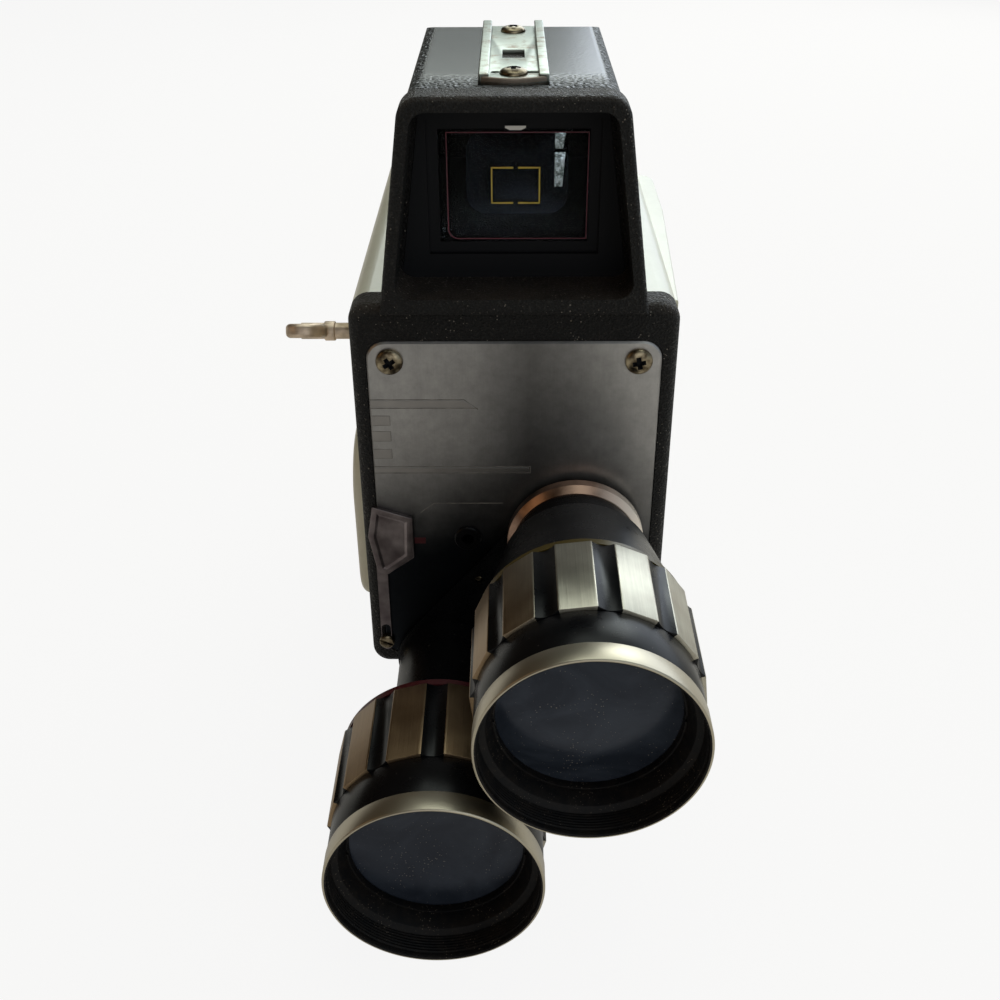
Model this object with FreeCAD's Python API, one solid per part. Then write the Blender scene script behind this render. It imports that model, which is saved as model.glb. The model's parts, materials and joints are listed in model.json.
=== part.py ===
import FreeCAD, Part
import math
import os

# A spring-driven 8 mm film movie camera with a two-lens turret and a large box finder.
# Millimetres. X is the viewer's right when facing the lenses, Y runs back from the lenses
# to the eyepiece and Z is up. The origin is the mouth of the tripod bush in the base.

Vector = FreeCAD.Vector
AXIS_X = Vector(1, 0, 0)
AXIS_Y = Vector(0, 1, 0)
AXIS_Z = Vector(0, 0, 1)

# Body casting
body_width = 67.0
body_height = 91.6
body_length = 106.0
bush_to_front = 48.0
wall = 2.0
body_edge_radius = 4.0
body_rear_radius = 5.0
deck_x = 1.0
deck_thickness = 2.0
side_front = 12.0
side_rear = body_length - 8.0
door_lid_rear = side_rear - 6.0
side_bottom = 9.0
side_top = body_height - 7.0
side_corner_radius = 12.0
side_lap = 4.0
lid_lap = side_lap + 1.0
rebate_depth = 1.2
rebate_gap = 0.15

# Front frame and face plate
frame_depth = 7.5
frame_setback = 0.3
frame_corner_radius = 4.0
frame_edge_radius = 2.4
frame_web = 5.5
plate_width = body_width - 6.7
plate_bottom = 3.6
plate_top = body_height - 7.8
plate_thickness = 1.5
plate_corner_radius = 4.0
plate_chamfer = 0.4
plate_gap = 0.15
plate_screw_x = plate_width / 2 - 4.75
plate_screw_z = plate_top - 4.2

# Screws
screw_head_radius = 2.8
screw_head_height = 1.6
screw_shank_radius = 1.5
screw_length = 5.0
screw_gap = 0.05
press_gap = 0.02
glass_rim = 0.4
cover_screw_length = 4.0
recess_width = 0.7
recess_span = 3.0
recess_depth = 0.9

# Turret
lens_x = 13.4
lens_z = 37.6
turret_angle = 50.2
turret_gap = 1.2
bar_thickness = 0.8
bar_end_radius = 11.9
bar_window_radius = 9.0
pivot_radius = 2.5
pivot_head_radius = 4.4
pivot_head_height = 1.2
pivot_end = 10.0
pivot_slot_depth = 0.6
pivot_slot_width = 1.0
head_edge_radius = 0.4
pivot_boss_radius = 5.5
detent_radius = 1.5
detent_reach = 9.0
detent_hole_radius = 1.0
detent_bore_end = 5.0
detent_spring_radius = detent_radius - 0.1
detent_spring_bore = detent_radius - 0.6
running_gap = 0.05
face_gap = 0.05
cover_gap = 0.1

# Converter lenses, all lengths ahead of the face plate
collar_radius = 14.9
collar_front = 5.6
collar_chamfer = 1.2
collar_chamfer_length = 1.5
neck_seat_radius = 12.9
tele_waist_radius = 13.5
tele_waist_front = 10.8
tele_step_radius = 16.0
tele_step_front = 13.0
wide_waist_radius = 11.4
wide_waist_front = 21.0
neck_funnel_length = 8.0
neck_end = 33.6
tube_radius = 18.9
neck_flange_radius = tube_radius + 1.3
neck_flange_length = 0.8
tube_wall = 1.5
tube_front = 55.2
colour_ring_radius = tube_radius + 2.2
colour_ring_length = 1.6
grip_back = 35.3
grip_front = 55.4
grip_radius = tube_radius + 2.9
grip_chamfer = 0.4
lens_gap = 1.34
turret_pitch = grip_radius + lens_gap / 2
flute_count = 12
flute_width = 3.6
flute_depth = 0.8
band_back = 55.6
band_front = 64.3
band_radius = tube_radius + 2.0
ring_front = 68.9
ring_radius = tube_radius + 2.16
ring_lip = 1.0
ring_chamfer = 0.3
nose_radius = tube_radius + 1.8
filter_radius = tube_radius + 1.2
filter_back = 63.8
funnel_front = 63.2
funnel_radius = tube_radius - 0.2
glass_radius = tube_radius - 0.6
glass_back = 56.4
glass_edge = 2.2
glass_crown = 1.7
glass_view_radius = tube_radius - 1.9
skirt_overlap = 8.7
skirt_wall = 1.4
focus_travel = 1.5
rear_glass_back = 4.0
rear_glass_edge = 2.6
rear_glass_crown = 1.2
tele_flute_angle = 21.6
wide_flute_angle = 0.6

# Release tab and its guide screw, beside the turret
tab_left = 1.2 - body_width / 2
tab_right = tab_left + 9.9
tab_top = 45.0
tab_side_top = 42.1
tab_side_bottom = 31.6
tab_bottom = 27.2
tab_waist = 37.3
tab_top_offset = 1.3
tab_foot_left = 1.7
tab_foot_right = 4.0
tab_slant = 0.6
tab_overlap = 0.2
tab_standoff = 0.1
tab_thickness = 0.9
tab_rim = 1.5
tab_dish = 0.4
stem_left = tab_left + 1.3
stem_width = 2.4
stem_thickness = 0.5
stem_bottom = 5.2
release_travel = 4.0
guide_x = stem_left + 1.2
guide_z = 7.4
guide_shank_radius = 1.0
guide_head_radius = 1.75
guide_head_height = 0.45
guide_head_chamfer = 0.15
guide_end = 6.0
stud_width = 2.4
stud_length = 3.0
stud_x = tab_left + 5.7
stud_z = 39.0
stud_back = 9.6
release_spring_radius = 1.2
release_spring_bore = 0.7
release_spring_bottom = 24.0
release_ledge_height = 2.0
release_ledge_half = 2.0

# Cable release socket
socket_x = -10.2
socket_z = 36.4
socket_radius = 3.0
socket_proud = 0.8
socket_bore_radius = 1.35
socket_sleeve_radius = 2.2
socket_length = 8.0
socket_chamfer = 0.25
socket_floor = 1.5

# Taking lens and film path, lengths behind the face plate
taking_radius = 7.0
taking_flange_radius = 8.5
taking_flange_front = 0.1
taking_back = 15.0
taking_bore_radius = 5.2
taking_mouth_radius = 7.2
taking_rear_radius = 3.2
taking_seat = 0.6
taking_glass_front = 2.4
taking_glass_edge = 2.0
taking_glass_crown = 0.9
shutter_back = 17.6
shutter_thickness = 0.4
shutter_radius = 20.5
shutter_x = -3.5
shutter_z = 38.0
shutter_opening = 160.0
shaft_radius = 1.5
shaft_front = 10.0
shaft_boss_radius = 3.4
shaft_boss_back = 16.0
shaft_end = 41.5
cam_radius = 2.6
cam_throw = 1.9
cam_length = 0.6
hub_radius = 4.0
hub_front = 0.6
hub_rear = 0.3
claw_back = 18.9
claw_thickness = 0.8
claw_width = 17.0
claw_height = 18.0
claw_travel = 1.9
claw_clearance = 0.6
claw_arm_width = 3.0
claw_tooth_width = 1.0
claw_tooth_height = 1.2
claw_tooth_reach = 0.2
gate_back = 20.2
gate_thickness = 1.0
gate_left = -12.0
gate_right = 24.0
gate_bottom = 20.0
gate_top = 50.0
film_width = 16.0
spindle_spare = 1.5
frame_window_width = 4.8
frame_window_height = 3.5
claw_slot_x = -6.9
claw_slot_width = 1.4
claw_slot_height = 9.0
gate_post_radius = 1.0
gate_post_spacing = 13.0
gate_post_spare = 1.2
claw_pin_radius = 0.6
claw_pin_x = -10.3
claw_pin_spacing = 9.0
pressure_gap = 0.3
pressure_thickness = 1.0
pressure_height = 18.0
pressure_travel = 1.5
pressure_leg_width = 5.0
pressure_leg_rise = 1.4
pressure_leg_root = 2.0
pressure_leg_thickness = 0.25
pressure_edge = 0.6
pressure_relief = 1.8
bracket_back = 38.5
bracket_thickness = 1.5
bracket_rim = 0.9
bracket_half_height = 3.5

# Spring motor and gear train, places behind the plate and above the base
key_back = 50.6
key_z = body_height - 27.8
arbor_radius = 2.0
wing_inner_x = -body_width / 2 - 10.7
wing_outer_x = wing_inner_x - 10.2
wing_length = 26.0
wing_thickness = 3.8
wing_tilt = -24.0
wing_hub_radius = 3.0
wing_bore_margin = 2.2
wing_corner_radius = 4.0
wing_edge_radius = 1.2
wing_hub_length = 6.0
wing_hub_proud = 0.4
plate_x = 3.9 - body_width / 2
mechanism_plate_thickness = 1.2
mechanism_margin = 3.0
pillar_radius = 2.2
pillar_inset = 5.0
pillar_tenon_radius = 0.95
pillar_cap = 0.8
mechanism_corner_radius = 5.0
low_pillar_back = 58.0
low_pillar_z = 18.5
pawl_length = 13.0
pawl_thickness = 1.4
pawl_pivot_radius = 1.0
pawl_eye_rim = 1.2
pawl_pin_proud = 0.3
pawl_gap = 0.15
ratchet_radius = 8.0
ratchet_teeth = 16
ratchet_thickness = 1.4
ratchet_depth = 1.1
ratchet_rise = 0.92
ratchet_gap = 0.4
barrel_left = plate_x + 4.2
barrel_right = -11.0
barrel_radius = 21.0
barrel_wall = 1.2
great_teeth = 60
great_module = 0.8
great_width = 2.4
centre_teeth = 20
centre_wheel_teeth = 40
train_module = 0.6
gear_overlap = 0.2
tooth_root_share = 0.72
tooth_pitch_share = 0.42
tooth_tip_share = 0.18
tooth_addendum = 0.8
tooth_dedendum = 1.15
centre_wheel_x = -9.8
wheel_width = 1.0
crown_back = 44.0
crown_z = 38.0
crown_tenon_radius = 0.9
crown_pinion_teeth = 20
crown_teeth = 36
crown_disc_x = -7.8
crown_disc_thickness = 0.8
crown_tooth_height = 0.6
crown_tooth_width = 0.6
crown_radius = 10.4
crown_tooth_length = 2.2
shutter_pinion_teeth = 12
shutter_pinion_radius = 3.3
shutter_pinion_length = 4.0
pinion_root = 0.72
pinion_tooth = [(-0.75, pinion_root), (-0.28, 1.0), (0.28, 1.0), (0.75, pinion_root)]
takeup_pinion_teeth = 18
takeup_gear_teeth = 42
takeup_gear_x = -4.6
takeup_gear_width = 1.6
spring_turns = 8
spring_thickness = 0.5
spring_inner_radius = 5.2
spring_gap = 0.3
spring_side_gap = 0.5
spring_outer_radius = barrel_radius - barrel_wall - 2 * spring_gap
spring_steps = 12

# Film spools
spool_radius = 25.0
spool_window_count = 3
spool_window_turn = 90.0
spool_gap = 0.6
spool_flange = 0.8
spool_core_radius = 9.5
spool_bore_radius = 2.1
spool_hub_wall = 1.4
spool_core_wall = 1.2
spindle_radius = 2.0
supply_back = 43.2
supply_z = body_height - wall - spool_radius - spool_gap
takeup_back = body_length - wall - spool_radius - spool_gap
takeup_z = wall + spool_radius + spool_gap
spool_window_radius = 4.5
spool_window_pitch = 16.5

# Side cover with its raised lower panel
panel_front = 11.0
panel_rear = side_rear - 2.0
panel_bottom = 8.0
panel_top = 52.0
panel_proud = 3.5
panel_high_radius = 14.0
panel_low_radius = 10.0
panel_edge_radius = 2.4
cover_wall = 1.2
cover_screw_inset = 5.5
cover_arbor_gap = 0.3

# Film door
door_front = 11.5
door_rear = side_rear + 1.0
door_bottom = 6.0
door_top = body_height - 3.6
door_front_height = 0.7
door_swell = 3.8
door_swell_peak = door_rear - 29.0
door_swell_end = door_rear - 5.0
door_round_end = door_rear - 2.0
door_round_height = 2.4
door_edge_radius = 0.5
door_wall = 1.4
hinge_radius = 2.0
hinge_pin_radius = 0.8
hinge_length = 16.0
hinge_back = door_rear + 2.2
hinge_low_z = 14.0
hinge_high_z = body_height - 27.6
hinge_segment_gap = 0.15
latch_back = 36.0
latch_z = 47.0
latch_radius = 7.0
latch_height = 2.2
latch_base_height = 1.0
latch_grip_width = 3.0
latch_gap = 0.6
latch_edge_radius = 0.5
latch_boss_radius = 4.0
latch_arm_drop = 1.6
latch_shaft_radius = 1.8
latch_arm_length = 24.0
latch_arm_width = 4.0
latch_arm_thickness = 1.0

# Footage counter in the rear wall
counter_x = 19.5 - body_width / 2
counter_z = 26.0
counter_radius = 10.5
counter_thickness = 1.0
counter_gap = 0.6
counter_window_offset = 6.5
counter_window_width = 7.0
counter_window_height = 4.4
counter_post_radius = 1.2
counter_post_length = 3.0
counter_hub_radius = 2.6
counter_hub_length = 1.2

# Tripod bush
bush_thread_radius = 3.175
bush_radius = 6.0
bush_flange_radius = 8.0
bush_flange_height = 1.2
bush_length = 9.0
bush_floor = 1.5
bush_gap = 0.2

# Finder
hood_front = -2.2
hood_back = 4.4
hood_lip_z = body_height - 1.3
hood_top = body_height + 41.0
hood_half_bottom = body_width / 2 - 6.8
hood_half_top = body_width / 2 - 12.5
hood_corner_radius = 4.5
hood_side_wall = 2.5
hood_top_wall = 2.8
hood_floor = 2.2
hood_inner_radius = 3.2
hood_nose_radius = 1.2
finder_inset = 0.9
finder_wall = 2.0
finder_back = body_length - 7.0
finder_bore_length = 8.0
finder_top_back = finder_back - 32.0
finder_back_height = 33.6
finder_corner_radius = 3.4
skin_thickness = 0.5
skin_hem = 0.8
recess_back = 10.0
window_frame_depth = 4.0
window_half_width = 14.8
window_bottom = body_height + 9.3
window_top = window_bottom + 22.5
window_step = 2.2
window_step_depth = 1.2
window_corner_radius = 1.2
window_glass_inset = 0.6
window_glass_radius = 1.0
frame_glass_drop = 0.8
seat_gap = 0.1
finder_axis_z = body_height + 20.4
frame_glass_thickness = 1.0
frame_glass_gap = 0.0
frame_glass_margin = 3.0
front_glass_thickness = 2.4
rear_lens_edge = 2.0
rear_lens_crown = 1.6
rear_lens_inset = 10.0
eyepiece_radius = 11.0
eyepiece_wall = 1.5
eyepiece_length = 17.0
eyepiece_proud = 3.0
eyecup_radius = 13.0
eyecup_length = 7.0
eyecup_bore_radius = 8.0
eyecup_edge = 1.0
eyecup_taper = 0.8
eyecup_lip = 1.2

# Accessory channel on top of the finder
channel_width = 13.6
channel_front = 10.5
channel_back = finder_top_back - 1.0
channel_base = 0.6
channel_wall = 0.7
channel_height = 2.2
channel_lip = 1.3
channel_corner_radius = 2.4
channel_slot_width = 4.6
channel_slot_front = 41.5
channel_slot_length = 8.0
channel_screw_front = 18.5
channel_screw_rear = channel_back - 6.0

front = -bush_to_front
reach = 2 * body_length
rear_lens_radius = eyepiece_radius - eyepiece_wall
half_width = body_width / 2
back = front + body_length
shell_front = front + frame_depth
top_inside = body_height - wall
tele_x = lens_x
tele_z = lens_z
turret_x = lens_x - turret_pitch * math.cos(math.radians(turret_angle))
turret_z = lens_z - turret_pitch * math.sin(math.radians(turret_angle))
wide_x = 2 * turret_x - tele_x
wide_z = 2 * turret_z - tele_z
bar_back = turret_gap
bar_front = turret_gap + bar_thickness
gate_y = front + gate_back
deck_front = gate_y + gate_thickness
film_x = lens_x


def box(x0, x1, y0, y1, z0, z1):
    return Part.makeBox(x1 - x0, y1 - y0, z1 - z0, Vector(x0, y0, z0))


def rod_x(radius, x0, x1, y, z):
    return Part.makeCylinder(radius, x1 - x0, Vector(x0, y, z), AXIS_X)


def rod_y(radius, y0, y1, x, z):
    return Part.makeCylinder(radius, y1 - y0, Vector(x, y0, z), AXIS_Y)


def rod_z(radius, z0, z1, x, y):
    return Part.makeCylinder(radius, z1 - z0, Vector(x, y, z0), AXIS_Z)


def slab(points, run):
    wire = Part.makePolygon([Vector(*p) for p in points + points[:1]])
    return Part.Face(wire).extrude(run)


def turned_y(profile, x, z):
    # profile holds (y, radius) pairs and is turned about the line through x, z along Y
    wire = Part.makePolygon([Vector(x + r, y, z) for y, r in profile + profile[:1]])
    return Part.Face(wire).revolve(Vector(x, 0, z), AXIS_Y, 360)


def turned_x(profile, y, z):
    wire = Part.makePolygon([Vector(x, y + r, z) for x, r in profile + profile[:1]])
    return Part.Face(wire).revolve(Vector(0, y, z), AXIS_X, 360)


def edges_along(shape, axis, chosen=lambda centre: True):
    found = []
    for edge in shape.Edges:
        if len(edge.Vertexes) != 2:
            continue
        run = edge.Vertexes[1].Point - edge.Vertexes[0].Point
        straight = abs(run.normalize().dot(axis)) > 0.999
        if straight and chosen(edge.CenterOfMass):
            found.append(edge)
    return found


def edges_at(shape, axis, place, tolerance=0.01):
    # every edge that lies in the plane where the coordinate along axis equals place
    found = []
    for edge in shape.Edges:
        if all(abs(p.dot(axis) - place) < tolerance for p in edge.discretize(5)):
            found.append(edge)
    return found


def rounded_block_y(x0, x1, z0, z1, radius, y0, y1):
    shape = box(x0, x1, y0, y1, z0, z1)
    return shape.makeFillet(radius, edges_along(shape, AXIS_Y))


def rounded_block_x(x0, x1, y0, y1, z0, z1, radius):
    shape = box(x0, x1, y0, y1, z0, z1)
    return shape.makeFillet(radius, edges_along(shape, AXIS_X))


def ahead(distance):
    return front - distance


def behind(distance):
    return front + distance


def lens_disc(x, z, y_back, radius, edge, crown, rim=glass_rim):
    # a round glass with a flat rear face and a flat rim; a crown below zero makes the front hollow
    y_front = y_back - edge
    curved = radius - rim
    sphere_radius = (curved ** 2 + crown ** 2) / (2 * abs(crown))
    half_sag = sphere_radius - math.sqrt(sphere_radius ** 2 - (curved / 2) ** 2)
    tip = Vector(x, y_front - crown, z)
    middle = Vector(x + curved / 2, y_front - crown + math.copysign(half_sag, crown), z)
    edge_of_curve = Vector(x + curved, y_front, z)
    flats = [edge_of_curve, Vector(x + radius, y_front, z), Vector(x + radius, y_back, z),
             Vector(x, y_back, z), tip]
    sides = [Part.Arc(tip, middle, edge_of_curve).toShape()]
    sides += [Part.makeLine(flats[i], flats[i + 1]) for i in range(len(flats) - 1)]
    return Part.Face(Part.Wire(sides)).revolve(Vector(x, 0, z), AXIS_Y, 360)


def screw(length=screw_length, head=screw_head_radius, shank=screw_shank_radius, height=screw_head_height):
    # a cross-recess pan head screw standing on z = 0, head up
    dome_radius = (head ** 2 + height ** 2) / (2 * height)
    dome = Part.makeSphere(dome_radius, Vector(0, 0, height - dome_radius))
    body = dome.common(rod_z(head, 0, height, 0, 0))
    body = body.fuse(rod_z(shank, -length, 0, 0, 0))
    half = recess_width / 2
    span = recess_span / 2
    low = height - recess_depth
    cross = box(-half, half, -span, span, low, height).fuse(box(-span, span, -half, half, low, height))
    return body.cut(cross)


def facing(shape, axis, place):
    # turns a shape built along +Z so that it points along axis, standing on place
    shape = shape.copy()
    turn = FreeCAD.Rotation(AXIS_Z, axis)
    shape.Placement = FreeCAD.Placement(place, turn)
    return shape


def gear_outline(teeth, module, phase):
    # straight-sided teeth with running backlash, as (angle, radius) corners
    pitch = teeth * module / 2
    corners = []
    for index in range(teeth):
        middle = phase + index * 2 * math.pi / teeth
        root_half = tooth_root_share * math.pi / teeth
        pitch_half = tooth_pitch_share * math.pi / teeth
        tip_half = tooth_tip_share * math.pi / teeth
        corners.append((middle - root_half, pitch - tooth_dedendum * module))
        corners.append((middle - pitch_half, pitch))
        corners.append((middle - tip_half, pitch + tooth_addendum * module))
        corners.append((middle + tip_half, pitch + tooth_addendum * module))
        corners.append((middle + pitch_half, pitch))
        corners.append((middle + root_half, pitch - tooth_dedendum * module))
    return corners


def gear_x(teeth, module, phase, x0, width, y, z):
    points = [(x0, y + r * math.cos(a), z + r * math.sin(a)) for a, r in gear_outline(teeth, module, phase)]
    return slab(points, Vector(width, 0, 0))


def meshing_phase(place, teeth, phase, next_place, next_teeth):
    # rotation that puts a gap of the next gear against a tooth of this one
    heading = math.atan2(next_place[1] - place[1], next_place[0] - place[0])
    return heading + math.pi + ((heading - phase) * teeth + math.pi) / next_teeth


def circle_meeting(first, first_radius, second, second_radius):
    # the meeting point of two circles that lies to the rear of the line between them
    gap_y = second[0] - first[0]
    gap_z = second[1] - first[1]
    span = math.hypot(gap_y, gap_z)
    along = (first_radius ** 2 - second_radius ** 2 + span ** 2) / (2 * span)
    off = math.sqrt(first_radius ** 2 - along ** 2)
    unit_y = gap_y / span
    unit_z = gap_z / span
    return (first[0] + along * unit_y + off * unit_z, first[1] + along * unit_z - off * unit_y)


key_place = (behind(key_back), key_z)
crown_place = (behind(crown_back), crown_z)
takeup_place = (behind(takeup_back), takeup_z)
supply_place = (behind(supply_back), supply_z)
great_pair = great_module * (great_teeth + centre_teeth) / 2
train_pair = train_module * (centre_wheel_teeth + crown_pinion_teeth) / 2
centre_place = circle_meeting(crown_place, train_pair, key_place, great_pair)
takeup_pair = math.hypot(takeup_place[0] - centre_place[0], takeup_place[1] - centre_place[1])
takeup_module = 2 * takeup_pair / (takeup_pinion_teeth + takeup_gear_teeth)
great_phase = 0.0
centre_phase = meshing_phase(key_place, great_teeth, great_phase, centre_place, centre_teeth)
crown_phase = meshing_phase(centre_place, centre_wheel_teeth, 0.0, crown_place, crown_pinion_teeth)
takeup_phase = meshing_phase(centre_place, takeup_pinion_teeth, 0.0, takeup_place, takeup_gear_teeth)


def front_plate_outline(gap, y0, y1):
    half = plate_width / 2 + gap
    corner = plate_corner_radius + gap
    return rounded_block_y(-half, half, plate_bottom - gap, plate_top + gap, corner, y0, y1)


def detent_place():
    # the click ball sits square to the line that joins the two lens axes
    turn = math.radians(turret_angle + 90)
    return turret_x + detent_reach * math.cos(turn), turret_z + detent_reach * math.sin(turn)


def plate_screw_places():
    return [(-plate_screw_x, plate_screw_z), (plate_screw_x, plate_screw_z)]


def release_slot(y0, y1):
    half = stud_width / 2 + running_gap
    low = stud_z - stud_length / 2 - release_travel - running_gap
    high = stud_z + stud_length / 2 + running_gap
    return box(stud_x - half, stud_x + half, y0, y1, low, high)


def front_frame():
    face = front + frame_setback
    shape = rounded_block_y(-half_width, half_width, 0, body_height, frame_corner_radius, face, shell_front)
    shape = shape.makeFillet(frame_edge_radius, edges_at(shape, AXIS_Y, face))
    shape = shape.cut(front_plate_outline(plate_gap, face - 1, front + plate_thickness))
    rim = half_width - wall
    hollow_front = front + frame_web
    shape = shape.cut(rounded_block_y(-rim, rim, wall, top_inside, wall, hollow_front, shell_front + 1))
    pivot_boss = rod_y(pivot_boss_radius, hollow_front - 1, behind(pivot_end + 2), turret_x, turret_z)
    shaft_boss = rod_y(shaft_boss_radius, hollow_front - 1, behind(shaft_boss_back), shutter_x, shutter_z)
    ledge = box(stud_x - release_ledge_half, stud_x + release_ledge_half, hollow_front - 1, behind(stud_back),
                release_spring_bottom - release_ledge_height, release_spring_bottom)
    shape = shape.fuse([pivot_boss, shaft_boss, ledge])
    shape = shape.cut(rod_y(pivot_radius + screw_gap, face, behind(pivot_end + 1), turret_x, turret_z))
    shape = shape.cut(rod_y(shaft_radius + running_gap, behind(shaft_front) - 0.5,
                            behind(shaft_boss_back) + 1, shutter_x, shutter_z))
    shape = shape.cut(rod_y(detent_radius + running_gap, face, behind(detent_bore_end), *detent_place()))
    shape = shape.cut(rod_y(taking_radius + screw_gap, face, shell_front + 1, lens_x, lens_z))
    shape = shape.cut(rod_y(socket_sleeve_radius + screw_gap, face, shell_front + 1, socket_x, socket_z))
    shape = shape.cut(rod_y(guide_shank_radius + screw_gap, face, shell_front - 1, guide_x, guide_z))
    shape = shape.cut(release_slot(face, shell_front + 1))
    for x, z in plate_screw_places():
        shape = shape.cut(rod_y(screw_shank_radius + screw_gap, face, front + 7, x, z))
    return shape.removeSplitter()


def front_plate():
    shape = front_plate_outline(0, front, front + plate_thickness)
    shape = shape.makeChamfer(plate_chamfer, edges_at(shape, AXIS_Y, front))
    y0 = front - 1
    y1 = front + plate_thickness + 1
    shape = shape.cut(rod_y(taking_flange_radius + plate_gap, y0, y1, lens_x, lens_z))
    shape = shape.cut(rod_y(pivot_radius + screw_gap, y0, y1, turret_x, turret_z))
    shape = shape.cut(rod_y(socket_sleeve_radius + screw_gap, y0, y1, socket_x, socket_z))
    shape = shape.cut(rod_y(guide_shank_radius + 2 * screw_gap, y0, y1, guide_x, guide_z))
    shape = shape.cut(release_slot(y0, y1))
    shape = shape.cut(rod_y(detent_radius + running_gap, y0, y1, *detent_place()))
    for x, z in plate_screw_places():
        shape = shape.cut(rod_y(screw_shank_radius + screw_gap, y0, y1, x, z))
    return shape


def pan_screws():
    # two in the face plate, four in the side cover and two in the accessory channel
    made = screw()
    short = screw(length=cover_screw_length)
    channel_z = channel_floor_z() + channel_base
    screws = [facing(made, Vector(0, -1, 0), Vector(x, front, z)) for x, z in plate_screw_places()]
    screws += [facing(short, Vector(-1, 0, 0), Vector(-half_width, y, z)) for y, z in cover_screw_places()]
    screws += [facing(short, AXIS_Z, Vector(0, y, channel_z)) for y in channel_screw_places()]
    return screws


def side_opening(sign, rear):
    # the rounded opening through one side wall and the rebate that its lid drops into
    outer = sign * half_width
    inner = sign * (half_width - wall)
    seat = sign * (half_width - rebate_depth)
    y0 = behind(side_front) + side_lap
    y1 = behind(rear) - side_lap
    hole = rounded_block_x(min(inner, outer) - 1, max(inner, outer) + 1, y0, y1,
                           side_bottom + side_lap, side_top - side_lap, side_corner_radius)
    rebate = rounded_block_x(min(seat, sign * reach), max(seat, sign * reach),
                             behind(side_front) - rebate_gap, behind(rear) + rebate_gap,
                             side_bottom - rebate_gap, side_top + rebate_gap, body_edge_radius + rebate_gap)
    return hole.fuse(rebate)


def cover_screw_places():
    low = panel_top + cover_screw_inset
    high = side_top - cover_screw_inset
    near = behind(side_front) + cover_screw_inset
    far = behind(side_rear) - cover_screw_inset
    return [(near, low), (near, high), (far, low), (far, high)]


def body_shell():
    shape = rounded_block_y(-half_width, half_width, 0, body_height, body_edge_radius, shell_front, back)
    shape = shape.makeFillet(body_rear_radius, edges_at(shape, AXIS_Y, back))
    inside = half_width - wall
    left = rounded_block_y(-inside, deck_x, wall, top_inside, wall, deck_front, back - wall)
    right = rounded_block_y(deck_x + deck_thickness, inside, wall, top_inside, wall, deck_front, back - wall)
    shutter_space = rounded_block_y(-inside, inside, wall, top_inside, wall, shell_front - 1, deck_front)
    shape = shape.cut(left).cut(right).cut(shutter_space)
    shape = shape.cut(side_opening(-1, side_rear)).cut(side_opening(1, door_lid_rear))
    for y, z in cover_screw_places():
        shape = shape.cut(rod_x(screw_shank_radius + screw_gap, -half_width, -half_width + wall + 1, y, z))
    shape = shape.cut(rod_z(bush_radius + screw_gap, -1, bush_length + bush_gap, 0, 0))
    shape = shape.cut(rod_z(bush_flange_radius + screw_gap, -1, bush_flange_height, 0, 0))
    deck_end = deck_x + deck_thickness
    for y, z in (key_place, centre_place, crown_place):
        shape = shape.cut(rod_x(arbor_radius + running_gap, deck_x - 1, deck_end + 1, y, z))
    shape = shape.cut(rod_x(spindle_radius + running_gap, deck_x - 1, deck_end + 1, *takeup_place))
    post = rod_x(spindle_radius, deck_x, spool_left() + film_width + spindle_spare, *supply_place)
    shape = shape.fuse(post)
    shape = shape.fuse(shaft_bracket())
    shape = shape.cut(counter_window())
    inner = back - wall
    stub = rod_y(counter_post_radius, inner - counter_post_length, inner + 0.5, counter_x, counter_z)
    shape = shape.fuse(stub)
    shape = shape.fuse(shell_hinge_lugs())
    return shape.removeSplitter()


def spool_left():
    return film_x - film_width / 2 - spool_flange


def shaft_bracket():
    # a post on the deck that carries the rear end of the shutter shaft
    y0 = behind(bracket_back)
    low = shutter_x - shaft_radius - bracket_rim
    tall = bracket_half_height
    arm = box(low, deck_x, y0, y0 + bracket_thickness, shutter_z - tall, shutter_z + tall)
    y1 = y0 + bracket_thickness
    return arm.cut(rod_y(shaft_radius + running_gap, y0 - 1, y1 + 1, shutter_x, shutter_z))


def counter_window():
    z = counter_z + counter_window_offset
    half = counter_window_width / 2
    tall = counter_window_height / 2
    return box(counter_x - half, counter_x + half, back - wall - 1, back + 1, z - tall, z + tall)


def hinge_zone(index, low):
    step = hinge_length / 3
    return low + index * step + hinge_segment_gap / 2, low + (index + 1) * step - hinge_segment_gap / 2


def hinge_axis_x():
    return half_width + hinge_radius


def shell_hinge_lugs():
    lugs = []
    y = behind(hinge_back)
    x = hinge_axis_x()
    for low in (hinge_low_z, hinge_high_z):
        for index in (0, 2):
            z0, z1 = hinge_zone(index, low)
            lug = rod_z(hinge_radius, z0, z1, x, y)
            lug = lug.fuse(box(half_width - 1, x, y, y + hinge_radius, z0, z1))
            lug = lug.cut(rod_z(hinge_pin_radius + running_gap, z0 - 1, z1 + 1, x, y))
            lugs.append(lug)
    return lugs


def hinge_pins():
    y = behind(hinge_back)
    x = hinge_axis_x()
    lows = (hinge_low_z, hinge_high_z)
    return [rod_z(hinge_pin_radius, low, low + hinge_length, x, y) for low in lows]


def panel_block(x0, x1, inset):
    y0 = behind(panel_front) + inset
    y1 = behind(panel_rear) - inset
    z0 = panel_bottom + inset
    z1 = panel_top - inset
    shape = box(x0, x1, y0, y1, z0, z1)
    high = edges_along(shape, AXIS_X, lambda c: c.z > (z0 + z1) / 2)
    shape = shape.makeFillet(panel_high_radius - inset, high)
    low = edges_along(shape, AXIS_X, lambda c: c.z < z0 + 0.1)
    return shape.makeFillet(panel_low_radius - inset, low)


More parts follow.
